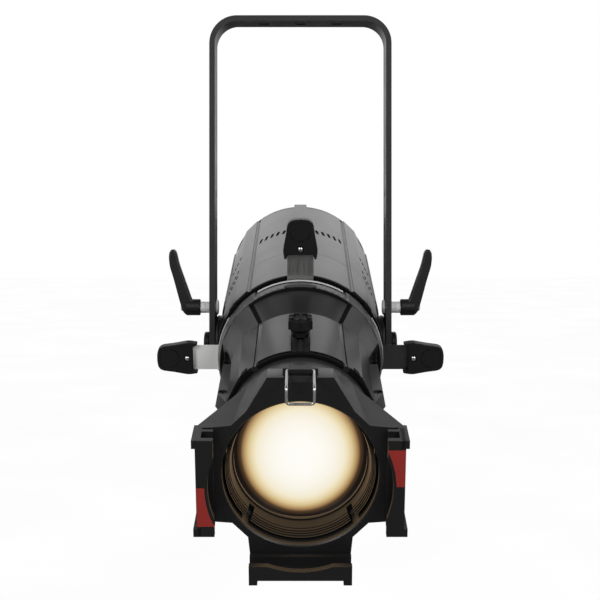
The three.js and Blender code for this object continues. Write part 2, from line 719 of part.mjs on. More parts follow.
// One half of the barrel: sign +1 is the upper half, -1 the lower
function barrelHalf(sign) {
  const split = 0.15;
  const inner = BARREL_BORE + 0.4;
  const reach = HOUSING_RADIUS + 10;
  const between = (a, b) => [Math.min(sign * a, sign * b), Math.max(sign * a, sign * b)];
  const keep = box(-reach, reach, BARREL_REAR - 1, BARREL_FRONT + 1, ...between(split, reach));
  const [start, taper, end] = FLANGE_SPAN;
  const corners = [
    [inner, start], [FLANGE_HALF, start], [FLANGE_HALF, taper], [FLANGE_SCREW_X, end], [inner, end],
  ];
  const outline = (side) => corners.map(([x, s]) => [side * x, s]);
  const [mouth, mouthEnd] = BORE_MOUTH;
  const clear = turned([
    [BARREL_REAR - 6, 0], [BARREL_REAR - 6, mouth], [BARREL_REAR, mouth], [mouthEnd, BARREL_BORE],
    [end + 3, BARREL_BORE], [end + 3, 0],
  ]);
  let half = barrelTube().intersect(keep);
  for (const side of [-1, 1]) {
    const flange = upward(outline(side), ...between(split, FLANGE_THICK));
    half = half.add(flange.subtract(clear));
    for (const s of FLANGE_SCREWS) {
      const x = side * FLANGE_SCREW_X;
      half = half.subtract(rod([x, s, -10], [x, s, 10], SCREW.hole, 8));
      if (sign > 0) half = half.subtract(rod([x, s, SCREW.seat], [x, s, 20], SCREW.counterbore, 14));
    }
  }
  if (sign > 0) {
    const [rear, ...slot] = CHANNEL_SPAN;
    half = half.subtract(box(-CHANNEL_HALF, CHANNEL_HALF, rear, BARREL_FRONT + 5, CHANNEL_FLOOR, 90));
    half = half.subtract(box(-KNOB_SLOT_HALF, KNOB_SLOT_HALF, ...slot, 60, 90));
  }
  return half;
}

function flangeScrew(side, s) {
  const x = side * FLANGE_SCREW_X;
  const top = SCREW.seat + SCREW.headHigh;
  return joined(
    rod([x, s, -4.4], [x, s, top - 1], SCREW.shank, 8),
    rod([x, s, SCREW.seat + GAP], [x, s, top], SCREW.head, 12),
  );
}

// ---------------------------------------------------------------- lens tube and its fittings
function lensTube() {
  const tube = plate(TUBE_REAR, TUBE_FRONT, TUBE_INNER, TUBE_RADIUS);
  return cut(tube, rod([0, KNOB_AT, 50], [0, KNOB_AT, 80], 3.3, 16));
}

function frontBezel() {
  return turned([
    [278, 54], [278, TUBE_INNER - GAP], [302, TUBE_INNER - GAP], [302, 62], [296, 61], [296, 60],
    [290, 59.2], [290, 58], [284, 57.2], [284, 54],
  ], 30);
}

function focusKnob() {
  const lobes = 12;
  const steps = lobes * 2;
  const outline = Array.from({ length: steps }, (_, i) => {
    const angle = (2 * Math.PI * i) / steps;
    const radius = KNOB_RADIUS - 0.8 + 0.8 * Math.cos(lobes * angle);
    return [radius * Math.sin(angle), KNOB_AT + radius * Math.cos(angle)];
  });
  return joined(
    upward(outline, 77, KNOB_TOP),
    rod([0, KNOB_AT, 73.4], [0, KNOB_AT, 77.5], 8.2, 16),
    rod([0, KNOB_AT, CHANNEL_FLOOR + GAP], [0, KNOB_AT, 74], 7.4, 16),
    rod([0, KNOB_AT, 62.5], [0, KNOB_AT, 74], 3, 16),
  );
}

// The holder's outline in the plane of its front face, right half from the top down. The third
// value is where the flat rim behind that point ends and the slope back to the tube starts, and
// the fourth is the angle at which that slope meets the tube.
const HOLDER_EDGE = [
  [0, 86.5, 292, 0], [10, 86.5, 292, 8], [27, 86.5, 292, 24], [44.2, 57, 299, 36],
  [56.6, 44.6, 304, 42], [72, 42.9, 305, 44], [TOWER_OUTER, 42.6, 306, 46], [TOWER_OUTER, 14, 306, 78],
  [TOWER_OUTER, -14, 306, 102], [TOWER_OUTER, -42.6, 306, 131], [72, -42.6, 305, 134],
  [57, -43.8, 304, 137], [44, -57, 303, 141], [42.6, -72, 304, 146], [42.6, -BOTTOM_TOWER_OUTER, 306, 150],
  [14, -BOTTOM_TOWER_OUTER, 306, 170], [0, -BOTTOM_TOWER_OUTER, 306, 180],
];

function holderBody() {
  const right = HOLDER_EDGE;
  const left = right.slice(1, -1).map(([x, u, s, angle]) => [-x, u, s, -angle]).reverse();
  const edge = [...right, ...left];
  const rings = [
    edge.map(([, , , angle]) => {
      const [x, u] = arc(HOLDER_REAR_RADIUS, angle, angle, 1)[0];
      return [x, HOLDER_REAR, u];
    }),
    edge.map(([x, u, s]) => [x, s, u]),
    edge.map(([x, u]) => [x, HOLDER_FACE, u]),
  ];
  return lofted(rings);
}

// One slotted tower, drawn below the axis: a gel-frame slot, a divider, a wide slot, a front wall
function towerGeometry(outer) {
  const [d0, d1] = DIVIDER;
  const [f0, f1] = FRONT_WALL;
  const base = HOLDER_FACE - 2;
  const profile = [
    [base, -outer], [f1, -outer], [f1, -FRONT_WALL_INNER], [f0, -FRONT_WALL_INNER],
    [f0, -SLOT_WALL], [d1, -SLOT_WALL], [d1, -DIVIDER_INNER], [d0, -DIVIDER_INNER], [d0, -SLOT_WALL],
    [base, -SLOT_WALL],
  ];
  const caps = [-1, 1].map((side) => {
    const [x0, x1] = [side * TOWER_HALF, side * (TOWER_HALF - CAP_WIDE)].sort((a, b) => a - b);
    return box(x0, x1, base - 3, f1, -TOWER_CAP, -SLOT_WALL - 1);
  });
  return joined(across(profile, -TOWER_HALF, TOWER_HALF), ...caps);
}

function solidTurned(solid, degrees) {
  const { vertProperties, triVerts } = solid.getMesh();
  const geometry = new THREE.BufferGeometry();
  geometry.setAttribute('position', new THREE.BufferAttribute(vertProperties, 3));
  geometry.setIndex(new THREE.BufferAttribute(triVerts, 1));
  geometry.rotateY(degrees * DEG);
  return toSolid(geometry);
}

function accessoryHolder() {
  const [pivotS, pivotU] = CLIP_PIVOT;
  const front = FRONT_WALL[1] + 5;
  const divider = plate(DIVIDER[0] - 1, DIVIDER[1] + 1, 0, HOUSING_RADIUS);
  const low = towerGeometry(BOTTOM_TOWER_OUTER);
  const beside = [90, -90].map((degrees) => solidTurned(towerGeometry(TOWER_OUTER), degrees));
  const block = box(-9.3, 9.3, pivotS - 5, pivotS + 4, 86, pivotU + 2.6);
  const body = joined(holderBody(), low, ...beside, block);
  return cut(
    body,
    turned([
      [HOLDER_REAR - 5, 0], [HOLDER_REAR - 5, TUBE_RADIUS + GAP],
      [TUBE_FRONT + GAP, TUBE_RADIUS + GAP], [TUBE_FRONT + GAP, 0],
    ]),
    turned([[TUBE_FRONT - 5, 0], [TUBE_FRONT - 5, HOLDER_BORE], [front, HOLDER_BORE], [front, 0]], 48),
    cut(turned([[HOLDER_FACE, 0], [HOLDER_FACE, FRONT_ARC], [front, FRONT_ARC], [front, 0]], 48), divider),
    rod([-20, pivotS, pivotU], [20, pivotS, pivotU], CLIP_WIRE + GAP, 16),
  );
}

function retainingClip() {
  const [s, u] = CLIP_PIVOT;
  const left = [[-CLIP_HALF, s, u], [-CLIP_HALF, CLIP_FRONT, u], [-CLIP_HALF, CLIP_FRONT, CLIP_LOW]];
  const right = left.map(([x, along, up]) => [-x, along, up]).reverse();
  const corners = [...left, ...right];
  const wires = corners.map((corner, i) => rod(corner, corners[(i + 1) % corners.length], CLIP_WIRE, 8));
  const elbows = corners.map(([x, along, up]) => {
    const ball = new THREE.SphereGeometry(CLIP_WIRE, 8, 6);
    ball.translate(x, -along, up);
    return toSolid(ball);
  });
  return joined(...wires, ...elbows);
}

// ---------------------------------------------------------------- assembly
const spotlight = new THREE.Group();

const frame = new THREE.Group();
frame.position.set(0, MOUNT_AHEAD_OF_HOLE, -YOKE_DROP);
spotlight.add(frame);

const head = new THREE.Group();
head.rotation.x = REST_TILT;
frame.add(head);

frame.add(toMesh('yoke', yoke(), paintDark));
for (const [label, side] of [['left', -1], ['right', 1]]) {
  frame.add(toMesh(`${label}_lock_bolt`, lockBolt(side), steel));
  frame.add(toMesh(
    `${label}_lock_spacer`,
    collar(side, YOKE_HALF + GAP, LEVER_START - GAP, SPACER_RADIUS, LOCK_BOLT_RADIUS + GAP, LOCK_RISE),
    steel,
  ));
  frame.add(toMesh(
    `${label}_friction_washer`,
    collar(side, BOSS_FACE + GAP, LEG_INNER - GAP, 17, PIVOT_RADIUS + GAP, 0),
    nylon,
  ));
  frame.add(toMesh(`${label}_lever`, lever(side), plastic));
  head.add(toMesh(`${label}_tilt_boss`, tiltBoss(side), plastic));
  head.add(toMesh(`${label}_pivot_bolt`, pivotBolt(side), darkSteel));
  head.add(toMesh(`${label}_panel`, sidePanel(side), paint));
}

head.add(toMesh('housing_core', housingCore(), darkSteel));
head.add(toMesh('top_panel', topPanel(), paint));
head.add(toMesh('bottom_panel', bottomPanel(), paint));
head.add(toMesh('rear_cover', rearCover(), plastic));
head.add(toMesh('display_window', displayWindow(), plastic));
BUTTONS.forEach((x, i) => head.add(toMesh(`menu_button_${i + 1}`, menuButton(x), plastic)));
for (const [name, place] of Object.entries(CONNECTORS)) {
  head.add(toMesh(name, connector(place, name.startsWith('power') ? 8 : 24), plastic));
}
head.add(toMesh('safety_eye', safetyEye(), steel));
head.add(toMesh('fan_frame', fanFrame(), plastic));
head.add(toMesh('fan_rotor', fanRotor(), plastic));
head.add(toMesh('heat_sink', heatSink(), aluminium));
head.add(toMesh('led_module', ledModule(), nylon));
head.add(toMesh('driver_board', driverBoard(), board));
head.add(toMesh('collimator', collimator(), aluminium));
head.add(toMesh('condenser_lens', lens(-12, 47.5, 4, 6), glass));

head.add(toMesh('gate_plate', gatePlate(), darkSteel));
head.add(toMesh('shutter_ring', shutterRing(), paint));
head.add(toMesh('upper_barrel', barrelHalf(1), paint));
head.add(toMesh('lower_barrel', barrelHalf(-1), paint));
for (const [label, side] of [['left', -1], ['right', 1]]) {
  FLANGE_SCREWS.forEach((s, i) => {
    const end = i === 0 ? 'rear' : 'front';
    head.add(toMesh(`${label}_${end}_flange_screw`, flangeScrew(side, s), darkSteel));
  });
}

const SHUTTERS = [['top', 0, 0], ['right', 90, 1], ['bottom', 180, 0], ['left', -90, 1]];
for (const [label, degrees, layer] of SHUTTERS) {
  const shutter = new THREE.Group();
  shutter.rotation.y = degrees * DEG;
  shutter.add(toMesh(`${label}_shutter_blade`, blade(BLADE_PLANES[layer]), steel));
  shutter.add(toMesh(`${label}_shutter_grip`, grip(BLADE_PLANES[layer]), plastic));
  head.add(shutter);
}

head.add(toMesh('lens_tube', lensTube(), paintDark));
head.add(toMesh('rear_lens', lens(140, TUBE_INNER - GAP, 4, 6), glass));
head.add(toMesh('front_lens', lens(264, TUBE_INNER - GAP, 4, 8), glass));
head.add(toMesh('front_bezel', frontBezel(), plastic));
head.add(toMesh('accessory_holder', accessoryHolder(), plastic));
head.add(toMesh('focus_knob', focusKnob(), plastic));
head.add(toMesh('retaining_clip', retainingClip(), steel));

export default spotlight;
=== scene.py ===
"""Ellipsoidal spotlight: the finished surfaces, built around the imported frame.

Places inside the lamp head are written (x, s, u) in millimetres from the tilt axis: across, forward
along the optical axis, and up. Places beside the yoke use the same letters with the head level.
"""
import json
import math

import bmesh
import bpy
from mathutils import Matrix, Vector


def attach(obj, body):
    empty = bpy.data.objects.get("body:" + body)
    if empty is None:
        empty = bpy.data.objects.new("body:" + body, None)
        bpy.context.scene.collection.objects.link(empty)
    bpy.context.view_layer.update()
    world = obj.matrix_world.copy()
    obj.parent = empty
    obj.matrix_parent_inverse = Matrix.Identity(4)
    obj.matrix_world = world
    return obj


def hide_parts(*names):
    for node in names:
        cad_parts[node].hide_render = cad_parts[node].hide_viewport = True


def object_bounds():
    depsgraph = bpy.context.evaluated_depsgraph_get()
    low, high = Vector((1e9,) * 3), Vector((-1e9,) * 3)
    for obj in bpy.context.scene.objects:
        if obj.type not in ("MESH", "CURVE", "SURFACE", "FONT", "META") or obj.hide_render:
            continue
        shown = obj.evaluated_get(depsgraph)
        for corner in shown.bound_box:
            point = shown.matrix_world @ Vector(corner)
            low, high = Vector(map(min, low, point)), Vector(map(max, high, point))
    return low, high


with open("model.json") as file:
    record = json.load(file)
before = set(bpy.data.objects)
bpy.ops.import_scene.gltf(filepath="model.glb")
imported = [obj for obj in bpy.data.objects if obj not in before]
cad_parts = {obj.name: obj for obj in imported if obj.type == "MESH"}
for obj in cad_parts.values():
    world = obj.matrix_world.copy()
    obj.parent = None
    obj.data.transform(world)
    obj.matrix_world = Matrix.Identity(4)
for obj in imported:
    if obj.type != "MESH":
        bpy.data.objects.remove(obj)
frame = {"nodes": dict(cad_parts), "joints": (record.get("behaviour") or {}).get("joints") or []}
cad_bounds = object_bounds()

MM = 0.001
JOINTS = {joint["name"]: joint for joint in frame["joints"]}
PIVOT = Vector(JOINTS["tilt"]["pos_m"])
FORWARD = Vector(JOINTS["barrel_turn"]["axis"])
REST_TILT = math.asin(-FORWARD.z)
LEVEL = Matrix.Translation(PIVOT) @ Matrix.Scale(MM, 4)
HEAD = Matrix.Translation(PIVOT) @ Matrix.Rotation(REST_TILT, 4, "X") @ Matrix.Scale(MM, 4)
SIDES = (("left", -1), ("right", 1))


def limits(node, space=HEAD):
    """A CAD node's lowest and highest x, s and u, in millimetres."""
    back = space.inverted()
    points = [back @ vertex.co for vertex in frame["nodes"][node].data.vertices]
    places = [(p.x, -p.y, p.z) for p in points]
    return [min(p[i] for p in places) for i in range(3)], [max(p[i] for p in places) for i in range(3)]


# ---------------- materials
class Nodes:
    """A node tree put together in a few lines."""

    def __init__(self, tree):
        self.tree = tree

    def add(self, kind, inputs=None, **settings):
        node = self.tree.nodes.new(kind)
        for key, value in settings.items():
            setattr(node, key, value)
        self.fill(node, inputs or {})
        return node

    def fill(self, node, inputs):
        for key, value in inputs.items():
            self.feed(node.inputs[key], value)

    def feed(self, socket, value):
        if hasattr(value, "is_linked"):
            self.tree.links.new(value, socket)
        elif isinstance(value, tuple):
            socket.default_value = (*value, 1.0)
        else:
            socket.default_value = value

    def spread(self, value, low, high, lowest=0.3, highest=0.7, **settings):
        """Turns lowest..highest into low..high."""
        return self.add("ShaderNodeMapRange", {
            "Value": value, "From Min": lowest, "From Max": highest, "To Min": low, "To Max": high,
        }, **settings).outputs["Result"]

    def mix(self, factor, first, second, kind="RGBA"):
        inputs = {"A": first, "B": second, "Factor": factor}
        return self.add("ShaderNodeMix", inputs, data_type=kind).outputs["Result"]

    def combine(self, operation, a, b):
        return self.add("ShaderNodeMath", {0: a, 1: b}, operation=operation).outputs[0]

    def times(self, a, b):
        return self.combine("MULTIPLY", a, b)

    def camera_ray(self):
        return self.add("ShaderNodeLightPath").outputs["Is Camera Ray"]


class Shader(Nodes):
    """A procedural material."""

    def __init__(self, name):
        self.material = bpy.data.materials.new(name)
        self.material.use_nodes = True
        super().__init__(self.material.node_tree)
        self.surface = self.tree.nodes["Principled BSDF"]
        self.place = self.add("ShaderNodeTexCoord").outputs["Object"]

    def noise(self, scale, detail=3.0, rough=0.5, stretch=None):
        place = self.place
        if stretch:
            place = self.mapped([0, 0, 0], [1 / step for step in stretch])
        return self.add("ShaderNodeTexNoise", {
            "Vector": place, "Scale": scale, "Detail": detail, "Roughness": rough,
        }).outputs["Fac"]

    def mapped(self, centre, scale):
        """The place measured from centre in steps of scale, along the axes of the head at rest."""
        return self.add("ShaderNodeMapping", {
            "Vector": self.place, "Location": centre, "Rotation": [REST_TILT, 0, 0], "Scale": scale,
        }, vector_type="TEXTURE").outputs["Vector"]

    def bump(self, height, strength, distance, after=None):
        inputs = {"Height": height, "Strength": strength, "Distance": distance}
        if after:
            inputs["Normal"] = after
        return self.add("ShaderNodeBump", inputs).outputs["Normal"]

    def edges(self):
        """1 on sharp outer edges, 0 on flats and in hollows."""
        softened = self.add("ShaderNodeBevel", {"Radius": EDGE_REACH}, samples=4)
        geometry = self.add("ShaderNodeNewGeometry")
        agreement = self.add("ShaderNodeVectorMath", {
            0: softened.outputs["Normal"], 1: geometry.outputs["Normal"],
        }, operation="DOT_PRODUCT")
        near_edge = self.spread(agreement.outputs["Value"], 1.0, 0.0, 0.8, 0.985)
        return self.times(near_edge, self.spread(geometry.outputs["Pointiness"], 0.0, 1.0, 0.5, 0.54))


def tint(color):
    """A colour given as one grey level, or as red, green and blue."""
    return color if isinstance(color, tuple) else (color,) * 3


def coated(name, color, roughness, grain=1500.0, grain_depth=0.35, wear=0.2, wear_amount=0.5,
           metallic=0.0, blotch=0.08, specular=0.5, uneven=0.05):
    """Paint or moulded plastic: fine grain, uneven gloss and colour, and edges rubbed to `wear`."""
    s = Shader(name)
    darker = tuple(c * (1 - blotch) for c in tint(color))
    lighter = tuple(min(1.0, c * (1 + blotch)) for c in tint(color))
    body = s.mix(s.spread(s.noise(9.0, 4.0, 0.6), 0.0, 1.0), darker, lighter)
    rub = s.times(s.edges(), s.spread(s.noise(160.0, 3.0, 0.7), 0.0, wear_amount, 0.35, 0.65))
    fine = s.bump(s.noise(grain, 2.0, 0.5), grain_depth, 0.00012)
    s.fill(s.surface, {
        "Base Color": s.mix(rub, body, tint(wear)),
        "Roughness": s.spread(s.noise(30.0, 4.0, 0.6), roughness - uneven, roughness + uneven),
        "Normal": s.bump(s.noise(45.0, 2.0, 0.5), uneven * 0.3, 0.0003, fine),
        "Metallic": metallic,
        "Specular IOR Level": specular,
    })
    return s.material


def metal(name, color, roughness, brush=(1.0, 1.0, 1.0), scratch=0.25):
    """Bare metal with a brushed or turned grain and a few darker smudges."""
    s = Shader(name)
    smudge = s.spread(s.noise(24.0, 4.0, 0.6), 0.0, 1.0)
    lines = s.noise(90.0, 3.0, 0.6, brush)
    s.fill(s.surface, {
        "Base Color": s.mix(smudge, tuple(c * 0.86 for c in tint(color)), tint(color)),
        "Roughness": s.spread(lines, roughness - 0.05, roughness + 0.12),
        "Normal": s.bump(lines, scratch, 0.0001),
        "Metallic": 1.0,
    })
    return s.material


def lit_lens(name, centre, half_wide, half_high):
    """Glass lit warm white from behind: white in the middle, amber, then dark at the rim."""
    s = Shader(name)
    place = s.mapped(centre, [half_wide, 10.0, half_high])
    share = s.add("ShaderNodeVectorMath", {0: place}, operation="LENGTH")
    uneven = s.spread(s.noise(14.0, 2.0, 0.5), -0.006, 0.006)
    ramp = s.add("ShaderNodeValToRGB", {"Fac": s.combine("ADD", share.outputs["Value"], uneven)})
    elements = ramp.color_ramp.elements
    while len(elements) < len(LENS_GLOW):
        elements.new(0.5)
    for element, (position, color) in zip(elements, LENS_GLOW):
        element.position = position
        element.color = (*color, 1.0)
    seen = s.camera_ray()
    s.fill(s.surface, {
        "Emission Color": s.mix(seen, WARM_LIGHT, ramp.outputs["Color"]),
        "Emission Strength": s.spread(seen, SPILL, 1.0, 0.0, 1.0),
        "Base Color": LENS_GLOW[-1][1],
        "Roughness": s.spread(s.noise(40.0), 0.05, 0.1),
    })
    return s.material


def clear_glass(name, color):
    s = Shader(name)
    s.fill(s.surface, {
        "Base Color": s.mix(s.spread(s.noise(12.0), 0.0, 1.0), color, (1.0, 1.0, 1.0)),
        "Roughness": s.spread(s.noise(30.0), 0.02, 0.08),
        "Transmission Weight": 0.9,
    })
    return s.material


EDGE_REACH = 0.0007
SPILL = 1.1
WARM_LIGHT = (1.0, 0.66, 0.36)
# The lens's colour by share of the way from its middle to its rim
LENS_GLOW = [
    (0.0, (0.98, 0.97, 0.94)), (0.31, (0.98, 0.955, 0.89)), (0.5, (0.95, 0.91, 0.81)),
    (0.625, (0.91, 0.85, 0.7)), (0.69, (0.89, 0.81, 0.6)), (0.75, (0.82, 0.7, 0.45)),
    (0.81, (0.7, 0.55, 0.285)), (0.875, (0.45, 0.28, 0.12)), (0.935, (0.075, 0.04, 0.018)),
    (1.0, (0.008, 0.006, 0.005)),
]

PAINT = coated("satin_grey_paint", 0.016, 0.3, 1400.0, 0.18, 0.16, blotch=0.05, uneven=0.015)
# Painted light: the collar and the flange tops carry the casing's dark paint, drawn lighter where light
# falls.
LIT_COLLAR_PAINT = coated("collar_paint_painted_light", 0.1, 0.34, 1400.0, 0.2, 0.3, blotch=0.05, uneven=0.02)
# Painted highlight: the lips carry the casing's dark paint, drawn light grey where they catch the light.
LIP_HIGHLIGHT = coated("lip_painted_highlight", 0.6, 0.3, 1400.0, 0.2, 0.6, blotch=0.06)
PAINT_DARK = coated("dark_cast_paint", 0.03, 0.38, 1100.0, 0.25, 0.1)
YOKE_PAINT = coated("yoke_powder_coat", 0.034, 0.42, 900.0, 0.4, 0.12, specular=0.3)
BLACK = coated("black_moulded_nylon", 0.008, 0.42, 1800.0, 0.3, 0.05, 0.6, blotch=0.05, specular=0.42,
               uneven=0.03)
HOLDER = coated("black_holder_nylon", 0.011, 0.4, 1500.0, 0.3, 0.06, 0.6, blotch=0.04, specular=0.4,
                uneven=0.03)
BEZEL = coated("dull_black_anodising", 0.005, 0.42, 900.0, 0.2, 0.05, 0.3, blotch=0.1, specular=0.35,
               uneven=0.03)
# Near black, for black parts and for painted shade: sheets set into vents, gaps and grooves where there is
# only shade.
BLACK_AND_SHADE = coated("black_parts_and_painted_shade", 0.003, 0.7, 800.0, 0.2, 0.008, 0.2, blotch=0.1, specular=0.1)
RED = coated("dull_red_marking", (0.35, 0.026, 0.019), 0.5, 1500.0, 0.3, (0.6, 0.12, 0.1), 0.4, blotch=0.05)
RUBBER = coated("soft_button_rubber", 0.03, 0.65, 1200.0, 0.5, 0.08, 0.3)
SCREEN = coated("display_dark_glass", (0.01, 0.014, 0.02), 0.08, 300.0, 0.02, 0.05, 0.1)
BOARD = coated("green_solder_mask", (0.02, 0.11, 0.05), 0.35, 600.0, 0.3, (0.3, 0.25, 0.1), 0.4)
NYLON = coated("natural_nylon", (0.561, 0.55, 0.539), 0.5, 900.0, 0.3, (0.7, 0.7, 0.68), 0.3)
STEEL = metal("bright_plated_steel", (0.85, 0.85, 0.84), 0.24)
# Zinc plate drawn as near-white paint: the light colour is partly the plate's own, partly a painted
# reflection.
ZINC_WITH_SHEEN = coated("zinc_plate_painted_sheen", (0.9538, 0.95, 0.9462), 0.2, 900.0, 0.1, (0.97, 0.97, 0.96), 0.4,
              blotch=0.03, specular=1.0)
WIRE = metal("drawn_wire", (0.75, 0.75, 0.74), 0.3)
BLADE = metal("brushed_blade", (0.62, 0.62, 0.61), 0.34, (14.0, 14.0, 0.6), 0.4)
# Painted reflection and painted shade: all four blades are the same steel; the left one is drawn near white
# and the right one dark.
BLADE_PAINTED_REFLECTION = coated("blade_painted_reflection", (0.97, 0.965, 0.95), 0.3, 700.0, 0.1, 0.9, 0.3, blotch=0.02)
BLADE_PAINTED_SHADE = metal("blade_painted_shade", 0.12, 0.45, (14.0, 0.6, 14.0), 0.4)
ALUMINIUM = metal("extruded_aluminium", (0.62, 0.62, 0.63), 0.35, (6.0, 0.5, 6.0), 0.4)
BLACK_STEEL = coated("black_oxide_steel", 0.02, 0.35, 1300.0, 0.3, metallic=0.6)
INNER_GLASS = clear_glass("inner_lens_glass", (0.96, 0.98, 0.96))
LENS = lit_lens("warm_lit_lens", HEAD @ Vector((0, -272, -0.4)), 55.6 * MM, 61.0 * MM)


# ---------------- mesh building
def mesh_object(verts, faces, space):
    mesh = bpy.data.meshes.new("piece")
    mesh.from_pydata(verts, [], faces)
    work = bmesh.new()
    work.from_mesh(mesh)
    bmesh.ops.remove_doubles(work, verts=work.verts, dist=1e-4)
    bmesh.ops.dissolve_degenerate(work, edges=work.edges, dist=1e-5)
    bmesh.ops.recalc_face_normals(work, faces=work.faces)
    work.to_mesh(mesh)
    work.free()
    mesh.transform(space)
    obj = bpy.data.objects.new("piece", mesh)
    bpy.context.scene.collection.objects.link(obj)
    return obj


def loft(rings, closed=False, space=HEAD):
    """A solid through rings of (x, s, u) points, with its last ring joined to its first if closed."""
    count = len(rings[0])
    faces = []
    for i in range(len(rings) if closed else len(rings) - 1):
        here, there = i * count, (i + 1) % len(rings) * count
        for k in range(count):
            after = (k + 1) % count
            faces.append((here + k, here + after, there + after, there + k))
    if not closed:
        faces.append(tuple(range(count)))
        faces.append(tuple(reversed(range((len(rings) - 1) * count, len(rings) * count))))
    return mesh_object([(x, -s, u) for ring in rings for x, s, u in ring], faces, space)


def lathe(profile, steps=128, span=(0.0, 360.0), origin=(0, 0, 0), axis="s", space=HEAD):
    """A solid turned from a closed outline of (along, radius) points. span is in degrees from up."""
    full = span[1] - span[0] >= 360
    rings = []
    for i in range(steps if full else steps + 1):
        angle = math.radians(span[0] + (span[1] - span[0]) * i / steps)
        a, b = math.sin(angle), math.cos(angle)
        ring = []
        for along, radius in profile:
            place = {"s": (radius * a, along, radius * b), "x": (along, radius * a, radius * b),
                     "u": (radius * a, radius * b, along)}[axis]
            ring.append([p + o for p, o in zip(place, origin)])
        rings.append(ring)
    return loft(rings, full, space)


def tube(low, high, inner, outer, steps=128, **place):
    """A turned ring from low to high along its axis, or a rod where inner is 0."""
    return lathe([(low, inner), (low, outer), (high, outer), (high, inner)], steps, **place)


def about(middle, reach):
    """A span that reaches as far each way from its middle."""
    return (middle - reach, middle + reach)


def push(outline, low, high, plane="xu", space=HEAD):
    """An outline pushed from low to high along the axis that its plane leaves out."""
    order = {"xu": (0, 2, 1), "su": (2, 0, 1), "xs": (0, 1, 2)}[plane]
    return loft([[[(a, b, c)[i] for i in order] for a, b in outline] for c in (low, high)], space=space)


def block(x, s, u):
    """A box between a low and a high x, s and u."""
    return push([(x[0], u[0]), (x[1], u[0]), (x[1], u[1]), (x[0], u[1])], *s)


def arc(radius, start, end, steps, centre=(0.0, 0.0)):
    """Points of an arc, in degrees from the second axis towards the first."""
    points = []
    for i in range(steps + 1):
        angle = math.radians(start + (end - start) * i / steps)
        points.append((centre[0] + radius * math.sin(angle), centre[1] + radius * math.cos(angle)))
    return points


def rounded(outline, radius, steps=6):
    """The outline with every corner rounded, by at most a third of its shorter side."""
    points = [Vector(p) for p in outline]
    result = []
    for i, corner in enumerate(points):
        before, after = points[i - 1] - corner, points[(i + 1) % len(points)] - corner
        reach = min(radius, before.length / 3, after.length / 3)
        start, end = corner + before.normalized() * reach, corner + after.normalized() * reach
        for k in range(steps + 1):
            t = k / steps
            result.append(tuple(start * (1 - t) ** 2 + corner * 2 * t * (1 - t) + end * t ** 2))
    return result


def rectangle(half, start, end, radius, steps=6):
    """A rounded rectangle's outline, half wide each way across."""
    return rounded([(-half, start), (half, start), (half, end), (-half, end)], radius, steps)


def turn(obj, degrees):
    """Turns a mesh about the optical axis, from up towards +x."""
    obj.data.transform(HEAD @ Matrix.Rotation(math.radians(degrees), 4, "Y") @ HEAD.inverted())
    return obj


def settle(obj):
    """Makes a mesh's modifiers part of its shape."""
    bpy.context.view_layer.update()
    graph = bpy.context.evaluated_depsgraph_get()
    result = bpy.data.meshes.new_from_object(obj.evaluated_get(graph))
    obj.modifiers.clear()
    obj.data = result


def add_bevel(obj, width, segments, angle):
    step = obj.modifiers.new("soft_edges", "BEVEL")
    step.width = width * MM
    step.segments = segments
    step.limit_method = "ANGLE"
    step.angle_limit = math.radians(angle)
    step.use_clamp_overlap = True


def soften(obj, width, segments, angle=35.0):
    """Rounds a mesh's edges for good, before it is joined to others."""
    add_bevel(obj, width, segments, angle)
    settle(obj)
    return obj


def boolean(target, tools, operation="DIFFERENCE"):
    for tool in tools:
        step = target.modifiers.new("cut", "BOOLEAN")
        step.operation = operation
        step.solver = "EXACT"
        step.object = tool
    settle(target)
    for tool in tools:
        bpy.data.objects.remove(tool)
    return target


def union(target, *tools):
    return boolean(target, tools, "UNION")


def cut(target, *tools):
    return boolean(target, tools)


def together(*objects):
    """Several closed bodies as one mesh, each kept whole."""
    first = objects[0]
    work = bmesh.new()
    for obj in objects:
        work.from_mesh(obj.data)
    work.to_mesh(first.data)
    work.free()
    for obj in objects[1:]:
        bpy.data.objects.remove(obj)
    return first


def finish(obj, name, body, material, nodes=(), bevel=0.5, segments=2, angle=32.0, even=False):
    """Names a piece, softens its edges, and puts it on its body."""
    obj.name = name
    obj.data.name = name
    obj.data.materials.clear()
    obj.data.materials.append(material)
    for polygon in obj.data.polygons:
        polygon.material_index = 0
    obj.data.shade_smooth()
    if bevel:
        add_bevel(obj, bevel, segments, angle)
    obj.data.set_sharp_from_angle(angle=math.radians(angle + 8 if bevel else angle))
    if bevel or even:
        obj.modifiers.new("even_shading", "WEIGHTED_NORMAL").keep_sharp = True
    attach(obj, body)
    if nodes:
        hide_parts(*nodes)
    return obj


# ---------------- yoke and its hardware
LOCK_HEIGHT = 39.0
YOKE_THICKNESS = 6.0
YOKE_CORNER = 30.0


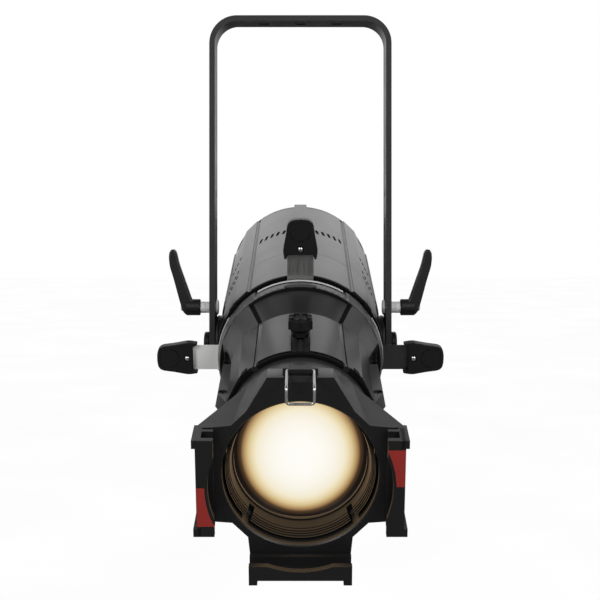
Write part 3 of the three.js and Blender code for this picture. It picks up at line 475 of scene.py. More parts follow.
def build_yoke():
    low, (half, wide, top) = limits("yoke", LEVEL)
    bottom = low[2]

    def arch(inset):
        radius = YOKE_CORNER - inset
        bend = arc(radius, 90, 0, 14, (half - YOKE_CORNER, top - YOKE_CORNER))
        right = [(half - inset, bottom), *bend]
        return right + [(-x, u) for x, u in reversed(right)]

    bar = push(arch(0) + arch(YOKE_THICKNESS)[::-1], -wide, wide, "xu", LEVEL)
    side = [(wide, top + 2), (-wide, top + 2), *arc(wide, 270, 90, 28, (0, bottom + wide))]
    ends = push(side, -half - 2, half + 2, "su", LEVEL)
    boolean(bar, [ends], "INTERSECT")
    cutters = [tube(top - 10, top + 5, 0, 6.5, 32, origin=(x, 0, 0), axis="u", space=LEVEL)
               for x in (-40, 0, 40)]
    for height, radius in ((0, 6.3), (LOCK_HEIGHT, 4.3)):
        cutters.append(tube(-110, 110, 0, radius, 32, origin=(0, 0, height), axis="x", space=LEVEL))
    for height, length in ((164, 9), (130, 15)):
        straight = length / 2 - 3
        slot = [*arc(3, -90, 90, 12, (0, height + straight)), *arc(3, 90, 270, 12, (0, height - straight))]
        cutters.append(push(slot, -110, 110, "su", LEVEL))
    cut(bar, *cutters)
    finish(bar, "yoke_bar", "yoke", YOKE_PAINT, ["yoke"], 0.7, 3)


def build_lock(label, side):
    centre = (0, 0, LOCK_HEIGHT)

    def ring(profile, steps=48):
        return lathe([(side * x, r) for x, r in profile], steps, origin=centre, axis="x", space=LEVEL)

    head = ring([(90, 0), (90, 6.6), (90.4, 7.7), (91.1, 8.2), (92.7, 8.2), (92.7, 0)])
    cut(head, tube(side * 88, side * 91.6, 0, 4, 6, origin=centre, axis="x", space=LEVEL))
    shank = ring([(92.7, 0), (92.7, 4), (130.6, 4), (131.8, 3), (131.8, 0)], 32)
    # The bolt and sleeve in the near-white zinc: partly a painted reflection.
    finish(together(head, shank), f"{label}_lock_bolt_steel", "yoke", ZINC_WITH_SHEEN,
           [f"{label}_lock_bolt"], 0.3, 2)
    sleeve = ring([(99.3, 4.3), (99.3, 6.3), (102.9, 6.3), (103.2, 6.0), (103.5, 6.0), (103.8, 6.3),
                   (110, 6.3), (110, 4.3)])
    finish(sleeve, f"{label}_lock_sleeve", "yoke", ZINC_WITH_SHEEN, [f"{label}_lock_spacer"], 0.15, 2)

    arm = [(113.6, -4), (114.4, 5), (119.6, 8.5), (126.5, 28), (133.3, 47), (136.6, 61), (138.8, 63.8),
           (142, 63.6), (144.2, 60), (144.6, 54), (143.6, 45), (138.9, 30), (133.6, 10), (129.4, -4),
           (125.7, -8.2), (118, -8.2)]
    arm = [(side * x, LOCK_HEIGHT + u) for x, u in rounded(arm, 5.0, 5)]
    handle = push(arm, -6.5, 6.5, "xu", LEVEL)
    soften(handle, 2.6, 5)
    hub = ring([(110.3, 4.3), (110.3, 8.4), (110.9, 9), (125, 9), (125.7, 8.4), (125.7, 4.3)])
    union(handle, hub)
    cut(handle, ring([(100, 0), (100, 4.3), (150, 4.3), (150, 0)], 32))
    body = f"{label}_lever"
    finish(handle, f"{label}_lock_lever", body, BLACK, [body], 0.5, 3)


def build_pivot(label, side):
    def ring(profile, steps=64, space=HEAD):
        return lathe([(side * x, r) for x, r in profile], steps, axis="x", space=space)

    boss = ring([(84.9, 6.3), (84.9, 30), (87.2, 30), (87.6, 29.4), (88.2, 29.4), (88.6, 30), (90.2, 30),
                 (91.4, 28.6), (91.4, 22), (90.9, 21.5), (90.9, 6.3)], 96)
    finish(boss, f"{label}_tilt_boss_moulding", "head", BLACK, [f"{label}_tilt_boss"], 0.3)
    cap = ring([(85.6, 0), (85.6, 6), (100.6, 6), (100.6, 12), (104.2, 12), (105.4, 11), (105.8, 9.4),
                (105.8, 0)])
    socket = tube(side * 103, side * 108, 0, 4.4, 6, axis="x")
    cut(cap, socket)
    finish(cap, f"{label}_pivot_bolt_black", "head", BLACK_STEEL, [f"{label}_pivot_bolt"], 0.4)
    washer = ring([(91.7, 6.3), (91.7, 17), (92.7, 17), (92.7, 6.3)], 64, LEVEL)
    finish(washer, f"{label}_tilt_washer", "yoke", BLACK, [f"{label}_friction_washer"], 0.1)


# ---------------- housing
HOUSING = limits("housing_core")
REAR, FRONT = HOUSING[0][1], HOUSING[1][1]
SKIN = limits("bottom_panel")[0][2] * -1
PANEL_INNER = SKIN - 7.2
SPLIT = 37.0
SPLIT_GAP = 1.25
JOG = 1.6
SHOULDER = 91.4


def vent(angle, s, width, length, skew):
    """A slot cutter through the skin at one angle round the axis."""
    outline = rectangle(width / 2, -length / 2, length / 2, width * 0.33, 4)
    lean = math.radians(skew)
    points = [(x * math.cos(lean) - y * math.sin(lean), s + x * math.sin(lean) + y * math.cos(lean))
              for x, y in outline]
    return turn(push(points, 70, 100, "xs"), angle)


def build_panels():
    edge = SPLIT - SPLIT_GAP - 0.5
    lip = 0.9
    skin = [(REAR, PANEL_INNER), (REAR, SKIN - lip), (REAR + lip, SKIN), (FRONT - lip, SKIN),
            (FRONT, SKIN - lip), (FRONT, PANEL_INNER)]
    top = lathe(skin, 40, about(0, edge))
    rib_top = limits("top_panel")[1][2]
    rib = push([(-8.6, SKIN - 3), (8.6, SKIN - 3), (8, rib_top - 0.6), (7.2, rib_top), (-7.2, rib_top),
                (-8, rib_top - 0.6)], REAR, FRONT - 0.5, "xu")
    union(top, rib)
    seam = tube(-47.6, -47, SKIN - 0.5, SKIN + 3, 40, span=about(0, edge + 2))
    vents = [vent(sign * angle, -144, 3.5, 16, sign * -8)
             for angle in (12.8, 17.6, 22.4, 27.2, 32) for sign in (-1, 1)]
    cut(top, seam, *vents)
    finish(top, "top_casing", "head", PAINT, ["top_panel"], 0.45)

    for label, side in SIDES:
        start, flank = SPLIT + SPLIT_GAP, 73
        shoulder = [arc(SHOULDER, side * angle, side * angle, 1)[0] for angle in (start, 51)]
        outline = [*shoulder, *arc(SKIN, side * flank, side * (180 - flank), 24),
                   *[(x, -u) for x, u in reversed(shoulder)],
                   *arc(PANEL_INNER, side * (180 - start), side * start, 48)]
        panel = push(outline, REAR, FRONT - JOG)
        cheek = [(REAR + 0.5, SKIN - 2), (REAR + 0.5, SKIN + 0.6), (REAR + 1.1, SKIN + 1.2),
                 (-63.5, SKIN + 1.2), (-62, SKIN - 0.2), (-62, SKIN - 2)]
        union(panel, lathe(cheek, 24, about(side * 90, side * 17)))
        pocket = lathe([(side * 84.6, 0), (side * 84.6, 51), (side * 96, 56), (side * 96, 0)], 96, axis="x")
        holes = [vent(side * angle, s, 4.2, 11, side * 15)
                 for s in (-144, -88, -66) for angle in (53.5, 58, 62.5, 67)]
        cut(panel, pocket, *holes)
        finish(panel, f"{label}_casing", "head", PAINT, [f"{label}_panel"], 0.8, 2, 6)
        for height, turned_to in (("upper", side * SPLIT), ("lower", side * (180 - SPLIT))):
            inner = SPLIT_GAP if height == "lower" else -SPLIT_GAP
            corners = [(SKIN - 1.3, 1.5 * inner), (SKIN - 1.3, -0.3 * inner), (SHOULDER - 0.7, -inner),
                       (SKIN - 5, -inner), (SKIN - 5, 1.5 * inner)]
            section = [arc(radius, turned_to + side * a, turned_to + side * a, 1)[0] for radius, a in corners]
            strip = push(section, REAR + 0.5, FRONT - JOG)
            finish(strip, f"{label}_{height}_joint", "head", PAINT, (), 0)

    base = lathe(skin, 40, about(180, edge))
    slots = [vent(180 + a, -149, 4, 26, 0) for a in (-24, -12, 0, 12, 24)]
    cut(base, *slots)
    finish(base, "bottom_casing", "head", PAINT, ["bottom_panel"], 0.45)

    # Painted shade: black sheets just under the top and side vents, and a black band in the gap at the
    # casing's front edge.
    shades = [tube(low, high, SKIN - 6, SKIN - deep, 30, span=about(middle, reach))
              for low, high, middle, reach, deep in ((-155, -133, 0, 34.5, 0.9), (-151, -60, 60, 11, 1.9),
                                                     (-151, -60, -60, 11, 1.9))]
    front_gap_shade = tube(FRONT - 1, FRONT + 0.4, SKIN - 7, SKIN - 1.1)
    finish(together(front_gap_shade, *shades), "casing_shades", "head", BLACK_AND_SHADE, (), 0)

    outer = SKIN - 7.5
    core = tube(REAR, FRONT, outer - 2.5, outer)
    finish(core, "inner_casing_tube", "head", BLACK_AND_SHADE, ["housing_core"], 0)


EYE_HEIGHT = 70.0


def build_rear():
    face = limits("rear_cover")[0][1]
    shell = lathe([(face, 0), (face, 82), (face + 0.8, 85), (face + 3.4, 88.4), (REAR - 1.2, 89.8),
                   (REAR - 0.3, 89.4), (REAR - 0.3, 84), (face + 5, 84), (face + 5, 0)], 144)
    screen_low, screen_high = limits("display_window")
    screen = rounded([(screen_low[0], screen_low[2]), (screen_high[0], screen_low[2]),
                      (screen_high[0], screen_high[2]), (screen_low[0], screen_high[2])], 1.5)
    cutters = [push([(x * 1.01, u + (0.3 if u > 38 else -0.3)) for x, u in screen], face - 5, REAR + 5)]
    for i in range(4):
        name = f"menu_button_{i + 1}"
        centre = middle(name)
        cutters.append(tube(face - 5, REAR, 0, 4.5, 32, origin=centre))
        cap = [(-2, 0), (-2, 3.2), (-1.4, 4.2), (6.8, 4.2), (6.8, 5.8), (9, 5.8), (9, 0)]
        cap = lathe([(face + s, r) for s, r in cap], 40, origin=centre)
        finish(cap, f"menu_key_{i + 1}", name, RUBBER, [name], 0.3)
    for name, radius, pins in (("power_inlet", 12.5, 0), ("power_outlet", 12.5, 0), ("data_in", 11, 5),
                               ("data_out", 11, 5)):
        centre = middle(name)
        cutters.append(tube(face - 5, REAR, 0, radius + 0.3, 48, origin=centre))
        rim = radius + 2.2
        body = [(-4, 0), (-4, radius - 0.6), (-3.4, radius), (-2.3, radius), (-2.3, rim - 0.4),
                (-1.9, rim), (-0.3, rim), (-0.3, radius), (18, radius), (18, 0)]
        body = lathe([(face + s, r) for s, r in body], 64, origin=centre)
        cut(body, tube(face - 6, face + 6, 0, radius - 2.6, 48 if pins else 8, origin=centre))
        if pins:
            places = arc(5, 90, 270, pins - 1, (centre[0], centre[2]))
            inside = [tube(face, face + 6.2, 0, 0.9, 12, origin=(x, 0, u)) for x, u in places]
        else:
            inside = [tube(face - 1, face + 6.2, 0, radius - 6.6, 32, origin=centre)]
        finish(together(body, *inside), f"{name}_socket", "head", BLACK, [name], 0.25)
    eye_centre = (0, 0, EYE_HEIGHT)
    cutters.append(tube(face - 5, REAR, 0, 3.3, 32, origin=eye_centre))
    cut(shell, *cutters)
    finish(shell, "rear_cap", "head", BLACK, ["rear_cover"], 0.4)

    window = push(screen, screen_low[1], screen_high[1])
    finish(window, "display_glass", "head", SCREEN, ["display_window"], 0.4)

    loop = arc(9, 90, -260, 35, (face - 15.5, EYE_HEIGHT))
    eye = sweep([(0, s, u) for s, u in loop], 2.5, 20)
    neck = [(-6.6, 0), (-6.6, 3), (-4.2, 3), (-4.2, 5.4), (-3.6, 6), (-0.3, 6), (-0.3, 3), (10, 3), (10, 0)]
    neck = lathe([(face + s, r) for s, r in neck], 40, origin=eye_centre)
    finish(together(eye, neck), "safety_loop", "head", STEEL, ["safety_eye"], 0.2)


def middle(node):
    """The x and u of a CAD node's middle, as a place at s = 0."""
    low, high = limits(node)
    return ((low[0] + high[0]) / 2, 0, (low[2] + high[2]) / 2)


def sweep(points, radius, sides=16):
    """A closed loop of round wire along (x, s, u) points."""
    path = [Vector((x, -s, u)) for x, s, u in points]
    guide = (path[1] - path[-1]).orthogonal()
    rings = []
    for i, point in enumerate(path):
        along = (path[(i + 1) % len(path)] - path[i - 1]).normalized()
        guide = (guide - along * guide.dot(along)).normalized()
        other = along.cross(guide)
        ring = []
        for k in range(sides):
            angle = 2 * math.pi * k / sides
            p = point + (guide * math.cos(angle) + other * math.sin(angle)) * radius
            ring.append((p.x, -p.y, p.z))
        rings.append(ring)
    return loft(rings, closed=True)


# ---------------- gate, ring and shutters
# How far the collar's front lips and the cuts beside them reach, in degrees each way
LIP_REACH = 31
LIP_CUT_REACH = 33


def build_ring():
    # Painted shade: the gate disc reaches out to r 84.6, filling the gap between the casing and the collar
    # with black.
    gate = tube(39.5, 41.5, 38, 84.6)
    finish(gate, "gate_disc", "barrel", BLACK_AND_SHADE, ["gate_plate"], 0)
    ring = lathe([(45, 72), (45, 86.2), (45.8, 87), (53, 87), (62.6, 84.9), (63.2, 84.3), (63.2, 79),
                  (48, 79), (48, 72)], 144)
    # Painted shade: a black band along the collar's front, and a black line under each lip.
    shade = lathe([(63, 76.5), (63, 84.2), (64.5, 83.8), (66.3, 80.3), (66.3, 76.5)], 144)
    under_lip = [tube(49, 50.3, 85, 85.9, 60, span=about(angle, LIP_REACH)) for angle in (0, 180)]
    finish(together(shade, *under_lip), "collar_front_shade", "barrel", BLACK_AND_SHADE, (), 0)
    union(ring, *[tube(41.8, 46, 73, 80, 8, span=about(angle, 8)) for angle in (45, 135, 225, 315)])
    cut(ring, *[tube(40, 70, 85.4, 95, 60, span=about(angle, LIP_CUT_REACH)) for angle in (0, 180)])
    # Painted highlight: the lips along the collar's edges are drawn light grey.
    lip = [(46, 85), (46, 86.4), (46.4, 86.9), (48.4, 86.9), (49, 86.3), (49, 85)]
    side_lip = [(45.2, 86), (45.2, 87.3), (45.6, 87.8), (46.9, 87.8), (47.3, 87.3), (47.3, 86)]
    lips = [lathe(outline, 60, about(angle, LIP_REACH))
            for outline, angle in ((lip, 0), (lip, 180), (side_lip, 90), (side_lip, 270))]
    finish(together(*lips), "collar_lip", "barrel", LIP_HIGHLIGHT, (), 0.2)
    cut(ring, push(rounded([(-17, 57.5), (17, 57.5), (15.5, 70), (-15.5, 70)], 1.5), 80, 96, "xs"))
    # Painted light: the collar drawn in lighter paint than the casing.
    finish(ring, "shutter_collar", "barrel", LIT_COLLAR_PAINT, ["shutter_ring"], 0.35)
    for name, angle in (("b1", 52), ("a1", -52), ("b2", 128), ("a2", -128)):
        latch = turn(push(rectangle(5, 39.6, 49, 1.5), 80.5, 91.3, "xs"), angle)
        finish(latch, f"collar_latch_{name}", "barrel", BLACK_AND_SHADE, (), 0.8, 3)
    cover = push(rounded([(-16, 58.2), (16, 58.2), (15, 64), (-15, 64)], 1.2), 79.5, 82.2, "xs")
    finish(cover, "gate_slot_cover", "barrel", BLACK_AND_SHADE, (), 0.4)


# Each shutter's name, its angle from the top, the s of its blade, and the blade's material: the right blade
# carries painted shade and the left a painted reflection
SHUTTERS = [("top", 0, 42.0, BLADE), ("right", 90, 43.4, BLADE_PAINTED_SHADE), ("bottom", 180, 42.0, BLADE),
            ("left", -90, 43.4, BLADE_PAINTED_REFLECTION)]
# How thick a blade is, and the height of the middle of a handle's dish and of its rivet
BLADE_THICKNESS = 0.7
DISH_HEIGHT = 138.5
RIVET_HEIGHT = 120


def build_shutter(label, degrees, plane, material):
    body = f"{label}_shutter"
    tail = 13.75
    back, front = 40.2, 48.9
    outline = [(-32, 40), (32, 40), (32, 62), (28, 66), (tail, 66), (tail, 133), (-tail, 133), (-tail, 66),
               (-28, 66), (-32, 62)]
    sheet = turn(push(outline, plane, plane + BLADE_THICKNESS), degrees)
    finish(sheet, f"{label}_blade", body, material, [f"{label}_shutter_blade"], 0.12)

    right = [(0, 151.9), (5, 151.7), (9.5, 150.7), (12.3, 148.4), (13.7, 145), (15.2, 134), (17.75, 120.5),
             (17.75, 116.5), (16.6, 109.4), (14.6, 109.4), (13.4, 114)]
    outline = right + [(-x, u) for x, u in reversed(right[1:])]
    handle = push(rounded(outline, 1.4, 4), back, front)
    soften(handle, 1.3, 4, 50)
    cutters = [block((-tail - 0.3, tail + 0.3), (plane - 0.3, plane + BLADE_THICKNESS + 0.3), (100, 133.5))]
    for face, outside in ((front, 1), (back, -1)):
        dish = [*arc(11.2, 100, 260, 30, (0, DISH_HEIGHT)),
                (-10.6, 146.4), (-8.4, 148.6), (8.4, 148.6), (10.6, 146.4)]
        cutters.append(push(dish, *sorted((face - outside * 0.9, face + outside * 2))))
    moat = arc(11.2, 95, 265, 30, (0, DISH_HEIGHT)) + arc(9.8, 265, 95, 30, (0, DISH_HEIGHT))
    cutters.append(push(moat, 47.2, 52))
    cutters.append(tube(47.4, 52, 0, 3.8, 32, origin=(0, 0, RIVET_HEIGHT)))
    cut(handle, *cutters)
    turn(handle, degrees)
    finish(handle, f"{label}_handle", body, BLACK, [f"{label}_shutter_grip"], 0.3, 2)
    dome = [(47.5 + 2.3 * math.sin(math.radians(a)), 3 * math.cos(math.radians(a))) for a in range(0, 91, 15)]
    rivet = turn(lathe([(47.5, 0), *dome], 32, origin=(0, 0, RIVET_HEIGHT)), degrees)
    finish(rivet, f"{label}_rivet", body, STEEL, (), 0)


# ---------------- barrel
BARREL_END = 215
# Half the gap between the two castings, the height of the flanges, and where their screws stand
HALF_GAP = 0.15
FLANGE_TOP = 5.0
FLANGE_SCREW_X = 75
FLANGE_SCREWS = (72.5, 149)
# The barrel's outline at four places: s, the radius on top, then (angle from the top, radius) to the side
BARREL_SECTIONS = [
    (66, 81.6, [(36, 82), (39.5, 84.6), (52, 86.3), (73, 84.6), (81, 81), (90, 80)]),
    (80, 79, [(34.5, 79.3), (37.8, 81.5), (51.5, 82.8), (73, 80), (80, 71.5), (90, 69.6)]),
    (112, 73, [(31, 73.1), (34, 74.2), (50, 74.6), (70, 72.6), (80, 70.2), (90, 69.2)]),
    (BARREL_END, 70.5, [(33, 70.9), (36, 72), (51, 72.2), (70, 70.8), (80, 69.6), (90, 69)]),
]
# The middle and half width of the grooves down the barrel: x, s, half width
GROOVE_PATH = [(51.2, 65, 2.6), (39.6, 112, 2.1), (40.6, 216, 1.9)]


def barrel_outline(top, corners, inset):
    """One closed outline of the barrel; each flat side has two more points along it."""
    first, edge = corners[0]
    quarter = [(first * i / 24, top + (edge - top) * i / 24) for i in range(24)] + corners
    right = quarter + [(180 - angle, radius) for angle, radius in reversed(quarter[:-1])]
    whole = right + [(-angle, radius) for angle, radius in reversed(right[1:-1])]
    points = [arc(radius - inset, angle, angle, 1)[0] for angle, radius in whole]
    outline = []
    for i, (x, u) in enumerate(points):
        next_x, next_u = points[(i + 1) % len(points)]
        on_side = first - 0.1 <= abs(whole[i][0]) <= 180.1 - first
        parts = 3 if on_side else 1
        outline += [(x + (next_x - x) * k / parts, u + (next_u - u) * k / parts) for k in range(parts)]
    return outline


def barrel_form(inset=0.0):
    outlines = [(s, barrel_outline(top, corners, inset)) for s, top, corners in BARREL_SECTIONS]
    rings = []
    for (s, here), (next_s, there) in zip(outlines, outlines[1:]):
        steps = round((next_s - s) / 7)
        for k in range(steps):
            t = k / steps
            rings.append([(x + (a - x) * t, s + (next_s - s) * t, u + (b - u) * t)
                          for (x, u), (a, b) in zip(here, there)])
    end_s, end = outlines[-1]
    rings.append([(x, end_s, u) for x, u in end])
    return loft(rings)


def groove(side):
    """A shallow channel down the cone and the barrel, above and below, wider on the cone."""
    inner = [(side * (x - half), s) for x, s, half in GROOVE_PATH]
    outer = [(side * (x + half), s) for x, s, half in reversed(GROOVE_PATH)]
    strip = push(inner + outer, -95, 95, "xs")
    cut(strip, barrel_form(1.2))
    return strip


def cone_groove_shade(side):
    """The groove's floor drawn black where it crosses the cone, above and below: painted shade."""
    (x, s, half), (next_x, next_s, next_half) = GROOVE_PATH[:2]
    outline = [(side * (x - half - 0.2), s), (side * (next_x - next_half - 0.2), next_s - 2),
               (side * (next_x + next_half + 0.2), next_s - 2), (side * (x + half + 0.2), s)]
    strip = push(outline, -95, 95, "xs")
    boolean(strip, [barrel_form(1.05)], "INTERSECT")
    cut(strip, lathe([(60, 0), (60, 77.5), (68, 75.5), (78, 71.5), (112, 70), (120, 70), (120, 0)], 96))
    return strip


def shorten(start, middle, reach):
    """Takes the mouth back to s = start over a part of the circle."""
    return tube(start, BARREL_END + 5, 60, 90, 48, span=about(middle, reach))


def knob_way(channel_start, channel_end, slot_start, depth):
    """Cutters for the channel and the slot that the focus knob and its stem travel in."""
    return [push(rectangle(8.75, channel_start, channel_end, 2.0), depth, 90, "xs"),
            push(rectangle(3.6, slot_start, 206, 3.0), 55, 90, "xs")]


def build_barrel():
    bore = [(60, 0), (60, 76), (66, 76), (72, 66.8), (220, 66.8), (220, 0)]
    seam = [(67.4, 67), (81, 67), (81, 172), (75, 187), (67.4, 187)]
    face = [(67.4, 67), (80, 67), (80, 152), (71.6, 173), (67.4, 178)]
    for label, sign in (("upper", 1), ("lower", -1)):
        half = soften(barrel_form(), 0.6, 2, 6.5)
        union(half, *[loft([[(side * x, s, sign * u) for x, s in outline]
                            for outline, u in ((seam, HALF_GAP), (face, FLANGE_TOP))]) for side in (-1, 1)])
        cutters = [lathe(bore), block((-120, 120), (50, 230), sorted((sign * HALF_GAP, sign * -120)))]
        for side in (-1, 1):
            cutters.append(groove(side))
            for s in FLANGE_SCREWS:
                place = {"origin": (side * FLANGE_SCREW_X, s, 0), "axis": "u"}
                cutters.append(tube(-12, 12, 0, 2.3, 24, **place))
                if sign > 0:
                    sink = [(1.6, 0), (1.6, 4.2), (4.4, 4.2), (5.2, 5.0), (16, 5.0), (16, 0)]
                    cutters.append(lathe(sink, 40, **place))
        if sign > 0:
            cutters += knob_way(134, 222, 132, 68.3)
        straight = 90 - sign * 90
        cutters += [shorten(208.5, straight, 34.5), shorten(BARREL_END - 2.5, straight + 69, 30),
                    shorten(BARREL_END - 2.5, straight - 69, 30)]
        cut(half, *cutters)
        finish(half, f"{label}_barrel_casting", "barrel", PAINT, [f"{label}_barrel"], 0,
               angle=20, even=True)
    for label, side in SIDES:
        finish(cone_groove_shade(side), f"{label}_cone_groove_shades", "barrel", BLACK_AND_SHADE, (), 0)
        for end, s in zip(("rear", "front"), FLANGE_SCREWS):
            place = {"origin": (side * FLANGE_SCREW_X, s, 0), "axis": "u"}
            screw = lathe([(-4.4, 0), (-4.4, 1.9), (2.3, 1.9), (2.3, 3.4), (2.6, 3.8), (3.4, 3.8), (3.9, 3.2),
                           (3.9, 0)], 32, **place)
            cut(screw, tube(2.9, 5, 0, 1.7, 6, **place))
            finish(screw, f"{label}_{end}_cap_screw", "barrel", BLACK_STEEL,
                   [f"{label}_{end}_flange_screw"], 0.15)


def build_flange_faces():
    """The flanges' upper faces as thin plates, lighter than the painted casting: painted light, the same
    paint drawn brighter.
    """
    for label, side in SIDES:
        outline = [(side * x, s) for x, s in ((68.6, 68.5), (79.6, 68.5), (79.6, 152), (71.4, 172))]
        face = push(rounded(outline, 0.8), FLANGE_TOP - 0.4, FLANGE_TOP + 0.03, "xs")
        cut(face, *[tube(0, 9, 0, 5.2, 40, origin=(side * FLANGE_SCREW_X, s, 0), axis="u")
                    for s in FLANGE_SCREWS])
        finish(face, f"{label}_flange_face", "barrel", LIT_COLLAR_PAINT, (), 0)


def build_mouth_band():
    # A black band over the barrel's front end face and inside its mouth, with four black lugs.
    liner = lathe([(180, 66.5), (180, 68.3), (205, 68.3), (205, 70.1), (214.2, 70.1), (214.8, 69.5),
                   (214.8, 66.5)], 144)
    cut(liner, *knob_way(150, 209.5, 150, 68.2))
    lugs = [turn(push(rectangle(4.5, 206, 214.6, 1), 67, 71.9, "xs"), angle)
            for angle in (46, -46, 134, -134)]
    finish(together(liner, *lugs), "barrel_mouth_black_band", "barrel", BLACK_AND_SHADE, (), 0)


KNOB_S = 164


def build_knob():
    place = {"origin": (0, KNOB_S, 0), "axis": "u"}
    top = limits("focus_knob")[1][2]
    body = lathe([(74.4, 0), (74.4, 9.4), (76.4, 11.2), (top - 2.2, 11.2), (top - 2.2, 0)], 64, **place)
    wing = [(8, KNOB_S - 6), (11.4, KNOB_S - 6), (11.4, KNOB_S + 6), (8, KNOB_S + 6)]
    wings = [push(rounded([(side * x, s) for x, s in wing], 0.8), 76.5, top - 3.2, "xs") for side in (-1, 1)]
    middle_point = (0, KNOB_S)
    teeth = []
    for angle in range(0, 360, 45):
        low, high = angle + 9, angle + 36
        tooth = arc(10.9, low, high, 6, middle_point) + arc(7.4, high, low, 6, middle_point)
        teeth.append(push(tooth, top - 2.4, top, "xs"))
    hub = [(-3, 0), (-3, 4.4), (-1.2, 4.4), (-0.8, 3.8), (-0.8, 0)]
    hub = lathe([(top + u, r) for u, r in hub], 48, **place)
    stem = lathe([(62.5, 0), (62.5, 3), (68.6, 3), (68.6, 7.4), (74.6, 7.4), (74.6, 0)], 48, **place)
    finish(together(body, *wings, hub, stem, *teeth), "focus_thumb_knob", "focus_knob", BLACK,
           ["focus_knob"], 0.25)


# ---------------- lens tube and holder
LENS_RADIUS = 63.2


def build_lens_tube():
    shell = lathe([(122, 63.5), (122, 65.4), (122.6, 66), (290.4, 66), (291, 65.4), (291, 63.5)], 144)
    cut(shell, tube(50, 80, 0, 3.3, 24, origin=(0, KNOB_S, 0), axis="u"))
    finish(shell, "lens_barrel_tube", "lens_tube", PAINT_DARK, ["lens_tube"], 0)

    steps = [(278, 57), (278, 63.2), (302, 63.2), (302, 62.8), (299.5, 62.6), (299.5, 62), (297, 61.8),
             (297, 61.2), (294.5, 61), (294.5, 60.4), (291.5, 60.2), (291.5, 59.8), (281, 58), (281, 57)]
    bezel = lathe(steps, 144)
    cut(bezel, *[turn(block((-3, 3), (285, 306), (56.5, 66)), angle) for angle in (135, 225)])
    finish(bezel, "lens_retaining_rings", "lens_tube", BEZEL, ["front_bezel"], 0)

    def bulge(radius):
        return 2 + 8 * (1 - (radius / LENS_RADIUS) ** 2)

    radii = [LENS_RADIUS * i / 14 for i in range(15)]
    face = [(264 - bulge(r), r) for r in radii] + [(264 + bulge(r), r) for r in reversed(radii)]
    finish(lathe(face, 144), "front_lens_lit", "lens_tube", LENS, ["front_lens"], 0)


# The holder's front edge from the top, down its right side: x, u, the s where the slope back to the
# tube starts, and the angle where the slope meets the ring round the tube
HOLDER_EDGE = [
    (0, 86.5, 292, 0), (10, 86.5, 292, 8), (27, 86.5, 292, 24), (44.2, 57, 299, 36), (56.6, 44.6, 304, 42),
    (72, 42.9, 305, 44), (84.3, 42.6, 306, 46), (84.3, 14, 306, 78), (84.3, -14, 306, 102),
    (84.3, -42.6, 306, 131), (72, -42.6, 305, 134), (57, -43.8, 304, 137), (44, -57, 303, 141),
    (42.6, -72, 304, 146), (42.6, -83, 306, 150), (14, -83, 306, 170), (0, -83, 306, 180),
]


def holder_body():
    """The moulding's front plate, sloped back to a ring round the lens tube."""
    left = [(-x, u, s, -angle) for x, u, s, angle in reversed(HOLDER_EDGE[1:-1])]
    edge = HOLDER_EDGE + left
    ring = [arc(68.4, angle, angle, 1)[0] for _, _, _, angle in edge]
    rings = [[(x, 240, u) for x, u in ring], [(x, s, u) for x, u, s, _ in edge],
             [(x, 311, u) for x, u, _, _ in edge]]
    return loft(rings)


def tower(degrees, outer):
    """A slotted side of the holder: narrow slot, divider, wide slot and front wall."""
    profile = [(309, -outer), (335.5, -outer), (335.5, -70), (330, -70), (330, -80), (318, -80), (318, -71),
               (314, -71), (314, -80), (309, -80)]
    body = push(profile, -42.6, 42.6, "su")
    caps = [block(sorted((side * 42.6, side * 35.6)), (306, 335.5), (-87.2, -81)) for side in (-1, 1)]
    union(body, *caps)
    return turn(body, degrees)


def build_holder():
    body = holder_body()
    clip_bearing = block((-9.3, 9.3), (295, 304), (86, 90.8))
    union(body, tower(0, 83.03), tower(-90, 84.33), tower(90, 84.33), clip_bearing)
    clip_hole = tube(-20, 20, 0, 1.55, 24, origin=(0, 300, 88.3), axis="x")
    mouth = lathe([(310.97, 0), (310.97, 75), (313, 75), (313, 70.6), (319, 70.6), (319, 75), (345, 75),
                   (345, 0)], 144)
    bore = lathe([(235, 0), (235, 66.3), (291.3, 66.3), (291.3, 65.1), (310, 65.1), (312, 67.1), (312, 65.1),
                  (345, 65.1), (345, 0)], 144)
    brow = push([(306.5, 90), (306.5, 87), (315, 78.5), (315, 90)], -13.6, 13.6, "su")
    cut(body, bore, mouth, clip_hole, brow)
    finish(body, "accessory_holder_moulding", "lens_tube", HOLDER, ["accessory_holder"], 0)

    cover = push([(292.4, 86.3), (306.4, 86.3), (306.4, 86.9), (292.4, 86.9)], -14.5, 14.5, "su")
    cut(cover, block((-9.5, 9.5), (294, 305), (80, 95)), *[block((x - 0.3, x + 0.3), (290, 310), (86.7, 90))
                                                         for x in (-12, 12)])
    finish(cover, "clip_seat", "lens_tube", BLACK_AND_SHADE, (), 0)
    for label, side, low, high in (("left", -1, -33.2, 1.0), ("right", 1, 2.3, 34.3)):
        inner = []
        for i in range(13):
            u = low + (high - low) * i / 12
            inner.append((side * math.sqrt(77.4 ** 2 - u * u), u))
        outline = inner + [(side * 84.0, high), (side * 84.0, low)]
        mark = push(outline, 335.3, 335.72)
        finish(mark, f"{label}_tower_red_mark", "lens_tube", RED, (), 0)


def build_clip():
    half, pivot_s, pivot_u, front, low = 11, 300, 88.3, 337.5, 75
    path = [(-half, pivot_s, pivot_u), (-half, front, pivot_u), (-half, front, low), (half, front, low),
            (half, front, pivot_u), (half, pivot_s, pivot_u)]
    finish(sweep(rounded(path, 3.0), 1.25), "retaining_wire", "retaining_clip", WIRE,
           ["retaining_clip"], 0)


# ---------------- the CAD's inner works
INSIDE = {
    "fan_frame": BLACK, "fan_rotor": BLACK, "heat_sink": ALUMINIUM, "led_module": NYLON,
    "driver_board": BOARD, "collimator": ALUMINIUM, "condenser_lens": INNER_GLASS, "rear_lens": INNER_GLASS,
}


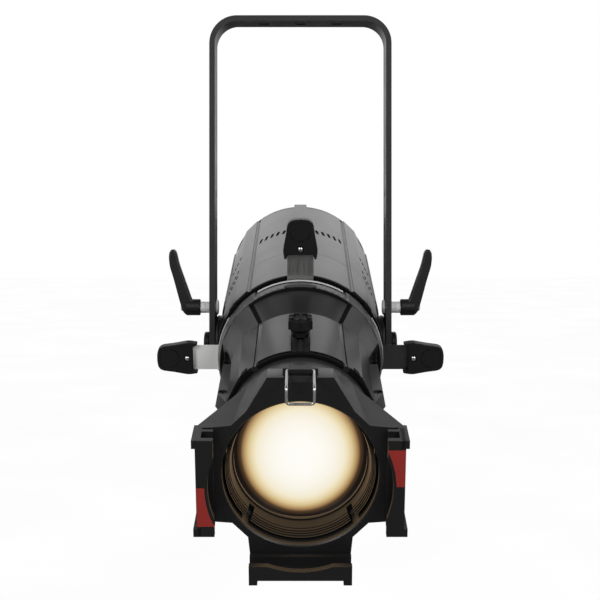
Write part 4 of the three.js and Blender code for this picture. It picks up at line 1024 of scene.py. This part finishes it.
def coat_inside():
    for node, material in INSIDE.items():
        mesh = frame["nodes"][node].data
        mesh.materials.clear()
        mesh.materials.append(material)


# ---------------- stage
STUDIO_BACK = 0.64
STUDIO_FRONT = 0.11
FLOOR_DROP = 0.28
FLOOR_HALF = 12.0
# Each lamp's name, place from the tilt axis in metres, size in metres and power in watts
LAMPS = [
    ("front_left", (-1.3, -1.9, 1.0), 1.0, 24.0),
    ("front_right", (1.3, -1.9, 1.0), 1.0, 24.0),
    ("rear_fill", (0.0, 2.2, 0.9), 1.6, 5.0),
    ("blade_card", (-0.185, -0.86, -0.6), 0.3, 0.16),
]


def build_stage():
    scene = bpy.context.scene
    scene.view_settings.view_transform = "Standard"
    camera_data = bpy.data.cameras.new("camera")
    camera_data.sensor_width = 36.0
    camera_data.lens = 65.28
    camera_data.shift_y = -0.1173
    camera_data.shift_x = -0.0007
    camera_data.clip_start = 0.01
    camera = bpy.data.objects.new("camera", camera_data)
    camera.location = PIVOT + Vector((0, -1.2, 0.1245))
    camera.rotation_euler = (math.pi / 2, 0, 0)
    scene.collection.objects.link(camera)
    scene.camera = camera

    floor_mesh = bpy.data.meshes.new("floor")
    level = cad_bounds[0][2] - FLOOR_DROP
    corners = [(x * FLOOR_HALF, y * FLOOR_HALF, level) for x, y in ((-1, -1), (1, -1), (1, 1), (-1, 1))]
    floor_mesh.from_pydata(corners, [], [(0, 1, 2, 3)])
    floor = bpy.data.objects.new("floor", floor_mesh)
    scene.collection.objects.link(floor)
    floor_mesh.materials.append(floor_material())
    build_world()
    for name, place, size, power in LAMPS:
        data = bpy.data.lights.new(name, "AREA")
        data.shape = "SQUARE"
        data.size = size
        data.energy = power
        lamp = bpy.data.objects.new(name, data)
        lamp.location = PIVOT + Vector(place)
        lamp.visible_camera = False
        lamp.rotation_euler = (PIVOT - lamp.location).to_track_quat("-Z", "Y").to_euler()
        scene.collection.objects.link(lamp)


def floor_material():
    """White to the camera, a quieter grey in reflections, so that undersides stay dark."""
    s = Shader("pale_floor")
    mottled = s.mix(s.spread(s.noise(3.0), 0.0, 1.0), (0.97, 0.97, 0.97), (1.0, 1.0, 1.0))
    seen = s.add("ShaderNodeEmission", {"Strength": 1.0, "Color": mottled})
    s.fill(s.surface, {"Base Color": (0.2, 0.2, 0.2), "Roughness": 0.9})
    blend = s.add("ShaderNodeMixShader", {"Fac": s.camera_ray(), 1: s.surface.outputs[0], 2: seen.outputs[0]})
    s.feed(s.tree.nodes["Material Output"].inputs["Surface"], blend.outputs[0])
    return s.material


def build_world():
    """White behind the object; for reflections, a studio bright low down at the back, dim overhead."""
    world = bpy.data.worlds.new("studio")
    bpy.context.scene.world = world
    world.use_nodes = True
    n = Nodes(world.node_tree)

    def eased(source, start, end, low, high):
        return n.spread(source, low, high, start, end, interpolation_type="SMOOTHSTEP")

    place = n.add("ShaderNodeTexCoord").outputs["Generated"]
    across, along, up = n.add("ShaderNodeSeparateXYZ", {0: place}).outputs
    behind = eased(along, -0.45, 0.35, 0.0, 1.0)
    low_down = eased(up, 0.54, 0.8, 1.0, 0.0)
    above_floor = eased(up, -0.35, 0.4, 0.15, 1.0)
    narrow = eased(n.combine("ABSOLUTE", across, 0.0), 0.1, 0.75, 1.0, 0.85)
    glow = n.times(n.times(behind, narrow), n.times(low_down, above_floor))
    studio = n.combine("ADD", n.times(glow, STUDIO_BACK), STUDIO_FRONT)
    n.fill(n.tree.nodes["Background"], {
        "Color": (1.0, 1.0, 1.0),
        "Strength": n.mix(n.camera_ray(), studio, 1.0, "FLOAT"),
    })


# ---------------- build
build_yoke()
for label, side in SIDES:
    build_lock(label, side)
    build_pivot(label, side)
build_panels()
build_rear()
build_ring()
for shutter in SHUTTERS:
    build_shutter(*shutter)
build_barrel()
build_flange_faces()
build_mouth_band()
build_knob()
build_lens_tube()
build_holder()
build_clip()
coat_inside()
build_stage()
